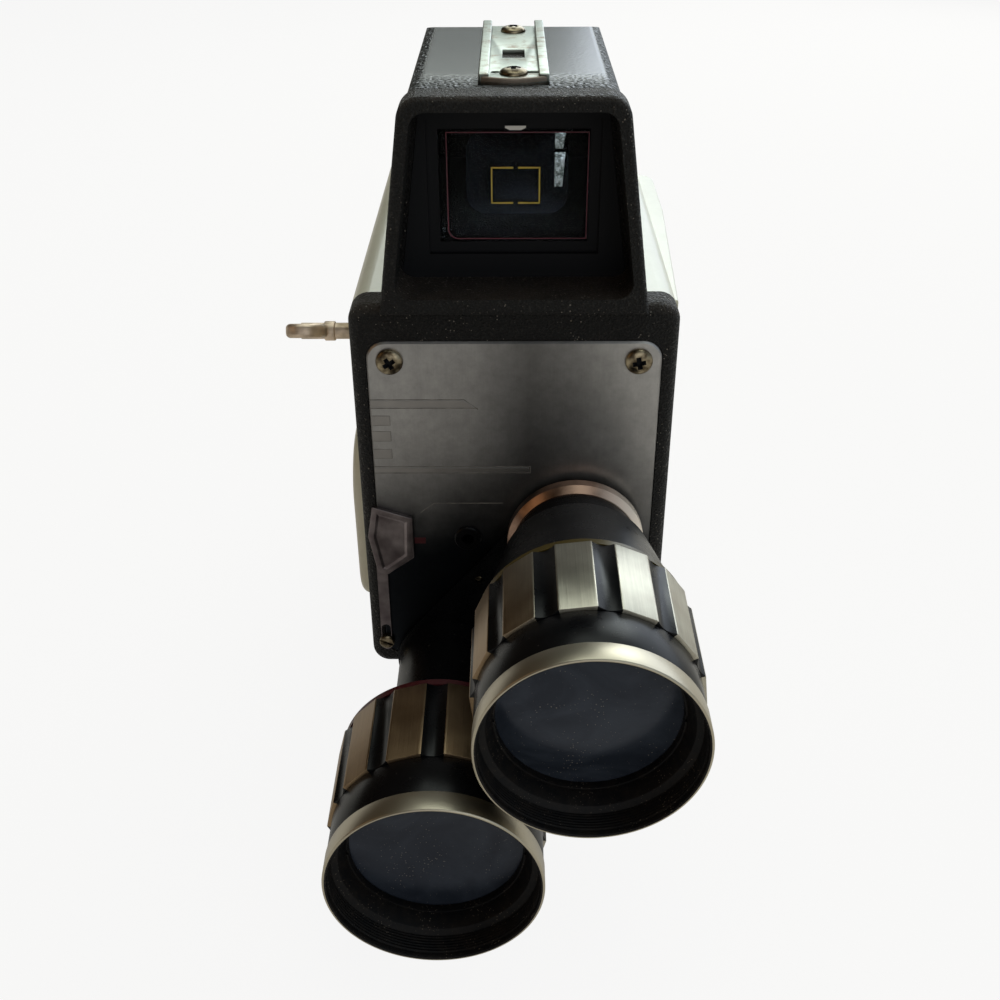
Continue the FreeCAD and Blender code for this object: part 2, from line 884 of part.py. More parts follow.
def side_cover():
    outer = -half_width
    seat = outer + rebate_depth
    shape = rounded_block_x(outer, seat, behind(side_front), behind(side_rear), side_bottom, side_top,
                            body_edge_radius)
    panel = panel_block(outer - panel_proud, outer - face_gap, 0.0)
    panel = panel.makeFillet(panel_edge_radius, edges_at(panel, AXIS_X, outer - panel_proud))
    inner = lid_lap
    link = panel_block(outer - 1.0, seat, inner)
    shape = shape.fuse([panel, link])
    shape = shape.cut(panel_block(outer - panel_proud + cover_wall, seat + 1, inner + cover_wall))
    shape = shape.cut(rod_x(arbor_radius + cover_arbor_gap, outer - 1, seat + 1, *key_place))
    for y, z in cover_screw_places():
        shape = shape.cut(rod_x(screw_shank_radius + screw_gap, outer - 1, seat + 1, y, z))
    return shape.removeSplitter()


def door_outline(inset):
    # plan outline of the wedge-shaped door, thickest towards the hinge
    base = half_width + face_gap
    top = base + door_swell - inset
    y0 = behind(door_front) + inset
    return [(base, y0), (base + door_front_height - inset, y0), (top, behind(door_swell_peak)),
            (top, behind(door_swell_end)), (base + door_round_height - inset, behind(door_round_end) - inset),
            (base, behind(door_rear) - inset)]


def door_room():
    # the hollow behind the swollen part of the door
    rim = lid_lap
    y0 = behind(side_front) + rim
    y1 = behind(door_lid_rear) - rim
    z0 = side_bottom + rim
    z1 = side_top - rim
    floor_x = half_width - rebate_depth - 1
    low = rounded_block_x(floor_x, half_width + 0.1, y0, y1, z0, z1, side_corner_radius - 1)
    start = behind(door_front)
    rise = (door_swell - door_front_height) / (door_swell_peak - door_front)
    deep = half_width + door_swell - door_wall
    corners = [(half_width, y0), (half_width + door_front_height - door_wall + rise * (y0 - start), y0),
               (deep, behind(door_swell_peak)), (deep, y1), (half_width, y1)]
    corners = [(max(x, half_width), y) for x, y in corners]
    wedge = slab([(x, y, z0) for x, y in corners[:1] + corners[2:]], Vector(0, 0, z1 - z0))
    room = rounded_block_x(half_width - 1, half_width + reach, y0, y1, z0, z1, side_corner_radius - 1)
    wedge = wedge.common(room)
    return low.fuse(wedge)


def film_door():
    z0 = door_bottom
    z1 = door_top
    swell = slab([(x, y, z0) for x, y in door_outline(0.0)], Vector(0, 0, z1 - z0))
    outer = edges_at(swell, AXIS_Z, z0) + edges_at(swell, AXIS_Z, z1)
    outer = [edge for edge in outer if edge.CenterOfMass.x > half_width + 1 and edge.Length > 4 * door_swell]
    swell = swell.makeFillet(door_edge_radius, outer)
    lid = rounded_block_x(half_width - rebate_depth + face_gap, half_width + 0.5, behind(side_front),
                          behind(door_lid_rear), side_bottom, side_top, body_edge_radius)
    shape = swell.fuse(lid).cut(door_room())
    y = behind(latch_back)
    seat = half_width - rebate_depth + face_gap
    shape = shape.fuse(rod_x(latch_boss_radius, seat, latch_face_x(), y, latch_z))
    shape = shape.cut(rod_x(latch_shaft_radius + running_gap, seat - 1, half_width + reach, y, latch_z))
    for low in (hinge_low_z, hinge_high_z):
        low_z, high_z = hinge_zone(1, low)
        y = behind(hinge_back)
        x = hinge_axis_x()
        knuckle = rod_z(hinge_radius, low_z, high_z, x, y)
        knuckle = knuckle.fuse(box(x, x + hinge_radius, behind(door_swell_end), y, low_z, high_z))
        knuckle = knuckle.cut(rod_z(hinge_pin_radius + running_gap, low_z - 1, high_z + 1, x, y))
        shape = shape.fuse(knuckle)
    return shape.removeSplitter()


def latch_face_x():
    # where the sloping face of the door passes the latch
    share = (latch_back - door_front) / (door_swell_peak - door_front)
    return half_width + face_gap + door_front_height + share * (door_swell - door_front_height)


def latch_knob():
    y = behind(latch_back)
    x0 = latch_face_x() + latch_gap
    x1 = x0 + latch_height
    knob = rod_x(latch_radius, x0, x1, y, latch_z)
    knob = knob.makeFillet(latch_edge_radius, edges_at(knob, AXIS_X, x1))
    half = latch_grip_width / 2
    for y0, y1 in ((y - 2 * latch_radius, y - half), (y + half, y + 2 * latch_radius)):
        knob = knob.cut(box(x0 + latch_base_height, x1 + 1, y0, y1, latch_z - reach, latch_z + reach))
    arm_x = half_width - wall - latch_arm_drop
    knob = knob.fuse(rod_x(latch_shaft_radius, arm_x, x0 + latch_base_height / 2, y, latch_z))
    arm_half = latch_arm_width / 2
    arm = box(arm_x, arm_x + latch_arm_thickness, y - arm_half, y + arm_half,
              latch_z - arm_half, latch_z + latch_arm_length)
    return knob.fuse(arm).removeSplitter()


def tripod_bush():
    shape = rod_z(bush_flange_radius, 0, bush_flange_height, 0, 0)
    shape = shape.fuse(rod_z(bush_radius, 0, bush_length, 0, 0))
    return shape.cut(rod_z(bush_thread_radius, -1, bush_length - bush_floor, 0, 0)).removeSplitter()


def turret_bar():
    y0 = ahead(bar_front)
    y1 = ahead(bar_back)
    shape = rod_y(bar_end_radius, y0, y1, tele_x, tele_z)
    shape = shape.fuse(rod_y(bar_end_radius, y0, y1, wide_x, wide_z))
    turn = math.radians(turret_angle)
    off_x = -math.sin(turn) * bar_end_radius
    off_z = math.cos(turn) * bar_end_radius
    corners = [(tele_x + off_x, y0, tele_z + off_z), (wide_x + off_x, y0, wide_z + off_z),
               (wide_x - off_x, y0, wide_z - off_z), (tele_x - off_x, y0, tele_z - off_z)]
    shape = shape.fuse(slab(corners, Vector(0, y1 - y0, 0)))
    for x, z in ((tele_x, tele_z), (wide_x, wide_z)):
        shape = shape.cut(rod_y(bar_window_radius, y0 - 1, y1 + 1, x, z))
    shape = shape.cut(rod_y(pivot_radius + running_gap, y0 - 1, y1 + 1, turret_x, turret_z))
    ball_x, ball_z = detent_place()
    for x, z in ((ball_x, ball_z), (2 * turret_x - ball_x, 2 * turret_z - ball_z)):
        shape = shape.cut(rod_y(detent_hole_radius, y0 - 1, y1 + 1, x, z))
    return shape.removeSplitter()


def detent_ball():
    x, z = detent_place()
    return Part.makeSphere(detent_radius, Vector(x, ahead(turret_gap - face_gap - detent_radius), z))


def detent_spring():
    x, z = detent_place()
    y0 = ahead(turret_gap - face_gap - 2 * detent_radius) + face_gap
    sleeve = rod_y(detent_spring_radius, y0, behind(detent_bore_end) - face_gap, x, z)
    return sleeve.cut(rod_y(detent_spring_bore, y0 - 1, behind(detent_bore_end) + 1, x, z))


def turret_pivot():
    head_back = bar_front + face_gap
    shape = rod_y(pivot_radius, ahead(head_back), behind(pivot_end), turret_x, turret_z)
    head_front = ahead(head_back + pivot_head_height)
    head = rod_y(pivot_head_radius, head_front, ahead(head_back), turret_x, turret_z)
    head = head.makeFillet(head_edge_radius, edges_at(head, AXIS_Y, head_front))
    shape = shape.fuse(head)
    half = pivot_slot_width / 2
    slot = box(turret_x - reach, turret_x + reach, head_front - 1, head_front + pivot_slot_depth,
               turret_z - half, turret_z + half)
    return shape.cut(slot).removeSplitter()


def pivot_spacer():
    shape = rod_y(pivot_boss_radius, ahead(turret_gap - face_gap), ahead(0), turret_x, turret_z)
    return shape.cut(rod_y(pivot_radius + screw_gap, ahead(turret_gap + 1), behind(1), turret_x, turret_z))


def tele_collar():
    back_face = bar_front
    profile = [(ahead(back_face), collar_radius),
               (ahead(collar_front - collar_chamfer_length), collar_radius),
               (ahead(collar_front), collar_radius - collar_chamfer),
               (ahead(collar_front), neck_seat_radius + screw_gap),
               (ahead(back_face), neck_seat_radius + screw_gap)]
    return turned_y(profile, tele_x, tele_z)


def tele_neck_outline():
    return [(bar_front, neck_seat_radius), (collar_front, neck_seat_radius),
            (collar_front, tele_waist_radius),
            (tele_waist_front, tele_waist_radius), (tele_step_front, tele_step_radius),
            (neck_end - neck_flange_length, neck_flange_radius)]


def wide_neck_outline():
    return [(bar_front, wide_waist_radius), (wide_waist_front, wide_waist_radius),
            (neck_end - neck_flange_length, neck_flange_radius)]


def lens_neck(outline, x, z):
    # outer skin from the turret bar to the flange, then the plain tube inside the grip
    inside = tube_radius - tube_wall
    profile = [(ahead(d), r) for d, r in outline]
    profile += [(ahead(neck_end), neck_flange_radius), (ahead(neck_end), tube_radius),
                (ahead(tube_front), tube_radius),
                (ahead(tube_front), inside), (ahead(neck_end), inside),
                (ahead(neck_end - neck_funnel_length), bar_window_radius),
                (ahead(bar_front), bar_window_radius)]
    return turned_y(profile, x, z)


def lens_rear_glass(x, z):
    radius = bar_window_radius - press_gap
    return lens_disc(x, z, ahead(rear_glass_back), radius, rear_glass_edge, rear_glass_crown)


def lens_colour_ring(x, z):
    y1 = ahead(neck_end)
    y0 = ahead(neck_end + colour_ring_length)
    shape = rod_y(colour_ring_radius, y0, y1, x, z)
    return shape.cut(rod_y(tube_radius + press_gap, y0 - 1, y1 + 1, x, z))


def lens_grip_ring(x, z, flute_angle):
    y0 = ahead(grip_front)
    y1 = ahead(grip_back)
    shape = rod_y(grip_radius, y0, y1, x, z)
    shape = shape.makeChamfer(grip_chamfer, edges_at(shape, AXIS_Y, y0) + edges_at(shape, AXIS_Y, y1))
    half = flute_width / 2
    cutter = (half ** 2 + flute_depth ** 2) / (2 * flute_depth)
    reach = grip_radius - flute_depth + cutter
    for index in range(flute_count):
        angle = math.radians(flute_angle + index * 360 / flute_count)
        flute_x = x + reach * math.cos(angle)
        flute_z = z + reach * math.sin(angle)
        shape = shape.cut(rod_y(cutter, y0 - 1, y1 + 1, flute_x, flute_z))
    return shape.cut(rod_y(tube_radius + running_gap, y0 - 1, y1 + 1, x, z))


def skirt_back():
    # rear end of the sliding skirt, which stays in its tube over the whole focusing travel
    return tube_front - focus_travel - skirt_overlap


def lens_cell(x, z):
    # black front mount: skirt inside the neck tube, band ahead of the grip, funnel down to the glass
    skirt = tube_radius - tube_wall - running_gap
    seat = glass_back + glass_edge + face_gap
    bore = glass_radius + screw_gap
    profile = [(ahead(skirt_back()), skirt), (ahead(band_back), skirt), (ahead(band_back), band_radius),
               (ahead(band_front), band_radius), (ahead(band_front), nose_radius),
               (ahead(ring_front - ring_lip), nose_radius), (ahead(ring_front - ring_lip), filter_radius),
               (ahead(filter_back), filter_radius), (ahead(funnel_front), funnel_radius),
               (ahead(seat), glass_view_radius), (ahead(seat), bore), (ahead(glass_back), bore),
               (ahead(glass_back), skirt - skirt_wall), (ahead(skirt_back()), skirt - skirt_wall)]
    return turned_y(profile, x, z)


def lens_front_ring(x, z):
    profile = [(ahead(band_front + face_gap), ring_radius), (ahead(ring_front - ring_chamfer), ring_radius),
               (ahead(ring_front), ring_radius - ring_chamfer),
               (ahead(ring_front), filter_radius + ring_chamfer),
               (ahead(ring_front - ring_chamfer), filter_radius),
               (ahead(ring_front - ring_lip + face_gap), filter_radius),
               (ahead(ring_front - ring_lip + face_gap), nose_radius + press_gap),
               (ahead(band_front + face_gap), nose_radius + press_gap)]
    return turned_y(profile, x, z)


def lens_front_glass(x, z, crown):
    rim = glass_radius - glass_view_radius + glass_rim
    return lens_disc(x, z, ahead(glass_back), glass_radius, glass_edge, crown, rim)


def tab_corners(inset):
    slanted = inset * tab_slant
    return [(tab_left + tab_top_offset + inset, tab_top - inset), (tab_right - inset, tab_side_top - slanted),
            (tab_right - inset, tab_side_bottom + slanted), (tab_left + tab_foot_right, tab_bottom + inset),
            (tab_left + tab_foot_left + inset, tab_bottom + inset), (tab_left + inset, tab_waist)]


def release_tab():
    y1 = ahead(tab_standoff)
    y0 = ahead(tab_standoff + tab_thickness)
    shape = slab([(x, y0, z) for x, z in tab_corners(0)], Vector(0, y1 - y0, 0))
    shape = shape.cut(slab([(x, y0, z) for x, z in tab_corners(tab_rim)], Vector(0, tab_dish, 0)))
    half = stem_width / 2
    mid = stem_left + half
    ys = ahead(tab_standoff + stem_thickness)
    stem = box(mid - half, mid + half, ys, y1, stem_bottom + half, tab_bottom + 2)
    stem = stem.fuse(rod_y(half, ys, y1, mid, stem_bottom + half))
    slot = guide_shank_radius + running_gap
    stem = stem.cut(rod_y(slot, ys - 1, y1 + 1, guide_x, guide_z))
    stem = stem.cut(rod_y(slot, ys - 1, y1 + 1, guide_x, guide_z + release_travel))
    stem = stem.cut(box(guide_x - slot, guide_x + slot, ys - 1, y1 + 1, guide_z, guide_z + release_travel))
    shape = shape.fuse(stem)
    stud = box(stud_x - stud_width / 2, stud_x + stud_width / 2,
               ahead(tab_standoff + tab_overlap), behind(stud_back),
               stud_z - stud_length / 2, stud_z + stud_length / 2)
    return shape.fuse(stud).removeSplitter()


def release_spring():
    top = stud_z - stud_length / 2 - face_gap
    low = release_spring_bottom + face_gap
    y = behind(stud_back) - release_spring_radius
    sleeve = rod_z(release_spring_radius, low, top, stud_x, y)
    return sleeve.cut(rod_z(release_spring_bore, low - 1, top + 1, stud_x, y))


def release_screw():
    back_face = ahead(tab_standoff + stem_thickness + face_gap)
    head = rod_y(guide_head_radius, back_face - guide_head_height, back_face, guide_x, guide_z)
    head = head.makeChamfer(guide_head_chamfer, edges_at(head, AXIS_Y, back_face - guide_head_height))
    shank = rod_y(guide_shank_radius, back_face, behind(guide_end), guide_x, guide_z)
    return head.fuse(shank).removeSplitter()


def release_socket():
    shape = rod_y(socket_radius, ahead(socket_proud), ahead(0), socket_x, socket_z)
    shape = shape.makeChamfer(socket_chamfer, edges_at(shape, AXIS_Y, ahead(socket_proud)))
    shape = shape.fuse(rod_y(socket_sleeve_radius, front, behind(socket_length - 0.5), socket_x, socket_z))
    bore_end = behind(socket_length - 0.5 - socket_floor)
    bore = rod_y(socket_bore_radius, ahead(socket_proud + 1), bore_end, socket_x, socket_z)
    return shape.cut(bore).removeSplitter()


def taking_lens_barrel():
    glass_seat = behind(taking_glass_front + taking_glass_edge)
    profile = [(ahead(taking_flange_front), taking_flange_radius),
               (behind(plate_thickness - face_gap), taking_flange_radius),
               (behind(plate_thickness - face_gap), taking_radius), (behind(taking_back), taking_radius),
               (behind(taking_back), taking_rear_radius), (glass_seat, taking_bore_radius - taking_seat),
               (glass_seat, taking_bore_radius), (behind(taking_glass_front), taking_bore_radius),
               (ahead(taking_flange_front), taking_mouth_radius)]
    return turned_y(profile, lens_x, lens_z)


def taking_lens_glass():
    y = behind(taking_glass_front + taking_glass_edge)
    return lens_disc(lens_x, lens_z, y, taking_bore_radius - press_gap, taking_glass_edge, taking_glass_crown)


def shutter_disc():
    y0 = behind(shutter_back)
    disc = rod_y(shutter_radius, y0, y0 + shutter_thickness, shutter_x, shutter_z)
    half = math.radians(shutter_opening / 2)
    across = reach * math.cos(half)
    along = reach * math.sin(half)
    corners = [(0, 0), (across, -along), (reach, -reach), (reach, reach), (across, along)]
    wedge = [(shutter_x + x, y0 - 1, shutter_z + z) for x, z in corners]
    disc = disc.cut(slab(wedge, Vector(0, 3, 0)))
    shaft = rod_y(shaft_radius, behind(shaft_front), behind(shaft_end), shutter_x, shutter_z)
    hub = rod_y(hub_radius, y0 - hub_front, y0 + shutter_thickness + hub_rear, shutter_x, shutter_z)
    cam_x = shutter_x - cam_throw
    cam_front = behind(claw_back) + cover_gap
    cam = rod_y(cam_radius, cam_front, cam_front + cam_length, cam_x, shutter_z)
    shape = disc.fuse([shaft, hub, cam])
    pitch = math.pi / shutter_pinion_teeth
    y1 = crown_place[0] - crown_radius + crown_tooth_length / 2 - shutter_pinion_length / 2
    corners = []
    for index in range(shutter_pinion_teeth):
        middle = math.pi + 2 * pitch * index
        for turn, share in pinion_tooth:
            angle = middle + turn * pitch
            radius = share * shutter_pinion_radius
            corners.append((shutter_x + radius * math.cos(angle), y1, shutter_z + radius * math.sin(angle)))
    pinion = slab(corners, Vector(0, shutter_pinion_length, 0))
    return shape.fuse(pinion).removeSplitter()


def claw_arm():
    y0 = behind(claw_back)
    half_w = claw_width / 2
    half_h = claw_height / 2
    y1 = y0 + claw_thickness
    shape = box(shutter_x - half_w, shutter_x + half_w, y0, y1, shutter_z - half_h, shutter_z + half_h)
    clear_w = cam_radius + cam_throw + claw_clearance
    clear_h = clear_w + claw_travel
    shape = shape.cut(box(shutter_x - clear_w, shutter_x + clear_w, y0 - 1, y0 + 2,
                          shutter_z - clear_h, shutter_z + clear_h))
    tooth_x = film_x + claw_slot_x
    half_tooth = claw_tooth_width / 2
    half_arm = claw_arm_width / 2
    tall = claw_tooth_height / 2
    arm = box(shutter_x + half_w - 1, tooth_x + half_tooth, y0, y0 + claw_thickness,
              shutter_z - half_arm, shutter_z + half_arm)
    tooth = box(tooth_x - half_tooth, tooth_x + half_tooth, y0, deck_front + claw_tooth_reach,
                shutter_z - tall, shutter_z + tall)
    shape = shape.fuse([arm, tooth])
    slot = claw_pin_radius + running_gap
    for z in claw_pin_heights():
        shape = shape.cut(box(claw_pin_x - slot, claw_pin_x + slot, y0 - 1, y0 + 2,
                              z - slot - claw_travel, z + slot + claw_travel))
    return shape.removeSplitter()


def claw_pin_heights():
    return [shutter_z - claw_pin_spacing / 2, shutter_z + claw_pin_spacing / 2]


def film_gate():
    y0 = gate_y
    y1 = gate_y + gate_thickness
    shape = box(gate_left, gate_right, y0, y1, gate_bottom, gate_top)
    half_w = frame_window_width / 2
    half_h = frame_window_height / 2
    shape = shape.cut(box(film_x - half_w, film_x + half_w, y0 - 1, y1 + 1, lens_z - half_h, lens_z + half_h))
    slot_x = film_x + claw_slot_x
    shape = shape.cut(box(slot_x - claw_slot_width / 2, slot_x + claw_slot_width / 2, y0 - 1, y1 + 1,
                          shutter_z - claw_slot_height / 2, shutter_z + claw_slot_height / 2))
    shape = shape.cut(rod_y(shaft_radius + running_gap, y0 - 1, y1 + 1, shutter_x, shutter_z))
    post_end = y1 + pressure_gap + pressure_thickness + pressure_leg_rise + pressure_travel + gate_post_spare
    for side in (-1, 1):
        z = lens_z + side * gate_post_spacing / 2
        shape = shape.fuse(rod_y(gate_post_radius, y1 - 0.5, post_end, film_x, z))
    for z in claw_pin_heights():
        shape = shape.fuse(rod_y(claw_pin_radius, behind(claw_back) - cover_gap, y0 + hub_rear,
                                 claw_pin_x, z))
    return shape.removeSplitter()


def pressure_plate():
    # the pad that holds the film flat, with its two spring legs bowed out behind
    y0 = deck_front + pressure_gap
    y1 = y0 + pressure_thickness
    half = film_width / 2 - pressure_edge
    tall = pressure_height / 2
    shape = box(film_x - half + pressure_relief, film_x + half, y0, y1, lens_z - tall, lens_z + tall)
    wide = pressure_leg_width / 2
    for side in (-1, 1):
        root = pressure_leg_root
        sunk = y1 - pressure_leg_thickness
        corners = [(sunk, root), (y1, root), (y1 + pressure_leg_rise, tall), (sunk + pressure_leg_rise, tall),
                   (sunk, root + 2 * pressure_leg_thickness)]
        leg = slab([(film_x - wide, y, lens_z + side * z) for y, z in corners], Vector(2 * wide, 0, 0))
        shape = shape.fuse(leg)
    for side in (-1, 1):
        z = lens_z + side * gate_post_spacing / 2
        shape = shape.cut(rod_y(gate_post_radius + running_gap, y0 - 1, y1 + 3, film_x, z))
    return shape.removeSplitter()


def mechanism_outline():
    return (behind(side_front) + side_lap + mechanism_margin, behind(side_rear) - side_lap - mechanism_margin,
            side_bottom + side_lap + mechanism_margin, side_top - side_lap - mechanism_margin)


def pillar_places():
    y0, y1, z0, z1 = mechanism_outline()
    return [(y0 + pillar_inset, z0 + pillar_inset), (y0 + pillar_inset, z1 - pillar_inset),
            (y1 - pillar_inset, z1 - pillar_inset), (behind(low_pillar_back), low_pillar_z)]


def mechanism_plate():
    y0, y1, z0, z1 = mechanism_outline()
    x1 = plate_x + mechanism_plate_thickness
    shape = rounded_block_x(plate_x, x1, y0, y1, z0, z1, mechanism_corner_radius)
    shape = shape.cut(rod_x(arbor_radius + running_gap, plate_x - 1, x1 + 1, *key_place))
    for y, z in (centre_place, crown_place, takeup_place):
        shape = shape.cut(rod_x(shaft_radius + running_gap, plate_x - 1, x1 + 1, y, z))
    for y, z in pillar_places():
        shape = shape.cut(rod_x(pillar_tenon_radius + screw_gap, plate_x - 1, x1 + 1, y, z))
    pawl_y, pawl_z = pawl_pivot()
    return shape.cut(rod_x(pawl_pivot_radius + running_gap, plate_x - 1, x1 + 1, pawl_y, pawl_z))


def plate_pillars():
    x0 = plate_x + mechanism_plate_thickness
    pillars = []
    for y, z in pillar_places():
        pillar = rod_x(pillar_radius, x0, deck_x, y, z)
        pillar = pillar.fuse(rod_x(pillar_tenon_radius, plate_x, x0 + 1, y, z))
        pillar = pillar.fuse(rod_x(pillar_radius, plate_x - pillar_cap, plate_x, y, z))
        pillars.append(pillar.removeSplitter())
    return pillars


def ratchet_left():
    return plate_x + mechanism_plate_thickness + ratchet_gap


def pawl_pivot():
    # level with the top of the ratchet and a pawl's length behind its axis
    return key_place[0] + pawl_length, key_place[1] + ratchet_radius + pawl_gap + pawl_thickness / 2


def winding_pawl():
    y, z = pawl_pivot()
    x0 = ratchet_left()
    half = pawl_thickness / 2
    finger = box(x0, x0 + ratchet_thickness, y - pawl_length, y, z - half, z + half)
    eye = rod_x(pawl_pivot_radius + pawl_eye_rim, x0, x0 + ratchet_thickness, y, z)
    pin = rod_x(pawl_pivot_radius, plate_x - pawl_pin_proud, x0 + face_gap, y, z)
    return finger.fuse([eye, pin]).removeSplitter()


def key_wing():
    x0 = wing_outer_x
    x1 = wing_inner_x
    y, z = key_place
    half = wing_length / 2
    thick = wing_thickness / 2
    shape = box(x0, x1, y - half, y + half, z - thick, z + thick)
    shape = shape.makeFillet(wing_corner_radius, edges_along(shape, AXIS_Z))
    rims = edges_at(shape, AXIS_Z, z + thick) + edges_at(shape, AXIS_Z, z - thick)
    shape = shape.makeFillet(wing_edge_radius, rims)
    shape = shape.fuse(rod_x(wing_hub_radius, x1 - wing_hub_length, x1 + wing_hub_proud, y, z))
    shape = shape.cut(rod_x(arbor_radius + press_gap, x0 + wing_bore_margin - 0.2, x1 + 2, y, z))
    shape.rotate(Vector(0, y, z), AXIS_X, wing_tilt)
    return shape


def key_arbor():
    y, z = key_place
    shape = rod_x(arbor_radius, wing_outer_x + wing_bore_margin, deck_x + deck_thickness, y, z)
    hub_gap = barrel_wall + running_gap * 4
    hub = spring_inner_radius - spring_thickness - spring_gap
    shape = shape.fuse(rod_x(hub, barrel_left + hub_gap, barrel_right - hub_gap, y, z))
    x0 = ratchet_left()
    corners = []
    for index in range(ratchet_teeth):
        angle = 2 * math.pi * index / ratchet_teeth
        next_angle = 2 * math.pi * (index + ratchet_rise) / ratchet_teeth
        root = ratchet_radius - ratchet_depth
        corners.append((x0, y + root * math.cos(angle), z + root * math.sin(angle)))
        corners.append((x0, y + ratchet_radius * math.cos(next_angle),
                        z + ratchet_radius * math.sin(next_angle)))
    return shape.fuse(slab(corners, Vector(ratchet_thickness, 0, 0))).removeSplitter()


def spring_barrel():
    y, z = key_place
    drum = turned_x([(barrel_left, arbor_radius + running_gap), (barrel_left, barrel_radius),
                     (barrel_right, barrel_radius), (barrel_right, arbor_radius + running_gap),
                     (barrel_right - barrel_wall, arbor_radius + running_gap),
                     (barrel_right - barrel_wall, barrel_radius - barrel_wall),
                     (barrel_left + barrel_wall, barrel_radius - barrel_wall),
                     (barrel_left + barrel_wall, arbor_radius + running_gap)], y, z)
    wheel = gear_x(great_teeth, great_module, great_phase, barrel_right - great_width, great_width, y, z)
    wheel = wheel.cut(rod_x(barrel_radius - 0.5, barrel_right - great_width - 1, barrel_right + 1, y, z))
    return drum.fuse(wheel).removeSplitter()


def mainspring():
    # one flat strip wound on itself inside the barrel
    y, z = key_place
    steps = spring_turns * spring_steps
    growth = (spring_outer_radius - spring_inner_radius) / steps
    outer = []
    inner = []
    for index in range(steps + 1):
        angle = 2 * math.pi * index / spring_steps
        radius = spring_inner_radius + growth * index
        under = radius - spring_thickness
        outer.append((y + radius * math.cos(angle), z + radius * math.sin(angle)))
        inner.append((y + under * math.cos(angle), z + under * math.sin(angle)))
    x0 = barrel_left + barrel_wall + spring_side_gap
    width = barrel_right - barrel_wall - spring_side_gap - x0
    return slab([(x0, a, b) for a, b in outer + inner[::-1]], Vector(width, 0, 0))


def centre_wheel():
    y, z = centre_place
    shape = rod_x(shaft_radius, plate_x, deck_x + deck_thickness, y, z)
    pinion = gear_x(centre_teeth, great_module, centre_phase, barrel_right - great_width - gear_overlap,
                    great_width + 2 * gear_overlap, y, z)
    wheel = gear_x(centre_wheel_teeth, train_module, 0.0, centre_wheel_x, wheel_width, y, z)
    small = gear_x(takeup_pinion_teeth, takeup_module, 0.0, takeup_gear_x - gear_overlap,
                   takeup_gear_width + 2 * gear_overlap, y, z)
    collar = rod_x(arbor_radius, barrel_right - great_width - 1, takeup_gear_x + takeup_gear_width + 1, y, z)
    return shape.fuse([pinion, wheel, small, collar]).removeSplitter()


def crown_wheel():
    y, z = crown_place
    shape = rod_x(shaft_radius, plate_x, crown_disc_x + crown_disc_thickness / 2, y, z)
    shape = shape.fuse(rod_x(crown_tenon_radius, crown_disc_x, deck_x + deck_thickness, y, z))
    pinion = gear_x(crown_pinion_teeth, train_module, crown_phase, centre_wheel_x - gear_overlap,
                    crown_disc_x - centre_wheel_x + gear_overlap, y, z)
    disc = rod_x(crown_radius, crown_disc_x, crown_disc_x + crown_disc_thickness, y, z)
    shape = shape.fuse([pinion, disc])
    x0 = crown_disc_x + crown_disc_thickness
    teeth = []
    half = crown_tooth_width / 2
    for index in range(crown_teeth):
        tip = y - crown_radius
        tooth = box(x0 - gear_overlap, x0 + crown_tooth_height, tip, tip + crown_tooth_length,
                    z - half, z + half)
        tooth.rotate(Vector(0, y, z), AXIS_X, (index + 0.5) * 360 / crown_teeth)
        teeth.append(tooth)
    return shape.fuse(teeth).removeSplitter()


def takeup_spindle():
    y, z = takeup_place
    shape = rod_x(shaft_radius, plate_x, takeup_gear_x, y, z)
    shape = shape.fuse(rod_x(spindle_radius, takeup_gear_x, spool_left() + film_width + spindle_spare, y, z))
    gear = gear_x(takeup_gear_teeth, takeup_module, takeup_phase, takeup_gear_x, takeup_gear_width, y, z)
    return shape.fuse(gear).removeSplitter()


def film_spool(place):
    y, z = place
    x0 = spool_left()
    x1 = film_x + film_width / 2
    shape = rod_x(spool_core_radius, x0, x1 + spool_flange, y, z)
    for x in (x0, x1):
        flange = rod_x(spool_radius, x, x + spool_flange, y, z)
        for index in range(spool_window_count):
            angle = math.radians(spool_window_turn + 360 / spool_window_count * index)
            window_y = y + spool_window_pitch * math.cos(angle)
            window_z = z + spool_window_pitch * math.sin(angle)
            flange = flange.cut(rod_x(spool_window_radius, x - 1, x + 2, window_y, window_z))
        shape = shape.fuse(flange)
    core = rod_x(spool_core_radius - spool_core_wall, x0 + spool_core_wall, x1 - spool_flange / 2, y, z)
    core = core.cut(rod_x(spool_bore_radius + spool_hub_wall, x0, x1 + 1, y, z))
    shape = shape.cut(core)
    return shape.cut(rod_x(spool_bore_radius, x0 - 1, x1 + 3, y, z)).removeSplitter()


def counter_dial():
    y1 = back - wall - counter_gap
    shape = rod_y(counter_radius, y1 - counter_thickness, y1, counter_x, counter_z)
    y0 = y1 - counter_thickness
    shape = shape.fuse(rod_y(counter_hub_radius, y0 - counter_hub_length, y0, counter_x, counter_z))
    bore = rod_y(counter_post_radius + running_gap, y0 - counter_hub_length - 1, y1 + 1, counter_x, counter_z)
    return shape.cut(bore).removeSplitter()


def hood_half(z, shrink=0.0):
    # half width of the tapering hood at a height, before its corners are rounded
    share = (z - hood_lip_z) / (hood_top - hood_lip_z)
    return hood_half_bottom + share * (hood_half_top - hood_half_bottom) - shrink


def taper_block(z0, z1, shrink, radius, y0, y1, low_radius=0.0):
    corners = [(-hood_half(z0, shrink), y0, z0), (hood_half(z0, shrink), y0, z0),
               (hood_half(z1, shrink), y0, z1), (-hood_half(z1, shrink), y0, z1)]
    shape = slab(corners, Vector(0, y1 - y0, 0))
    middle = (z0 + z1) / 2
    shape = shape.makeFillet(radius, edges_along(shape, AXIS_Y, lambda c: c.z > middle))
    if low_radius:
        shape = shape.makeFillet(low_radius, edges_along(shape, AXIS_Y, lambda c: c.z < middle - 5))
    return shape


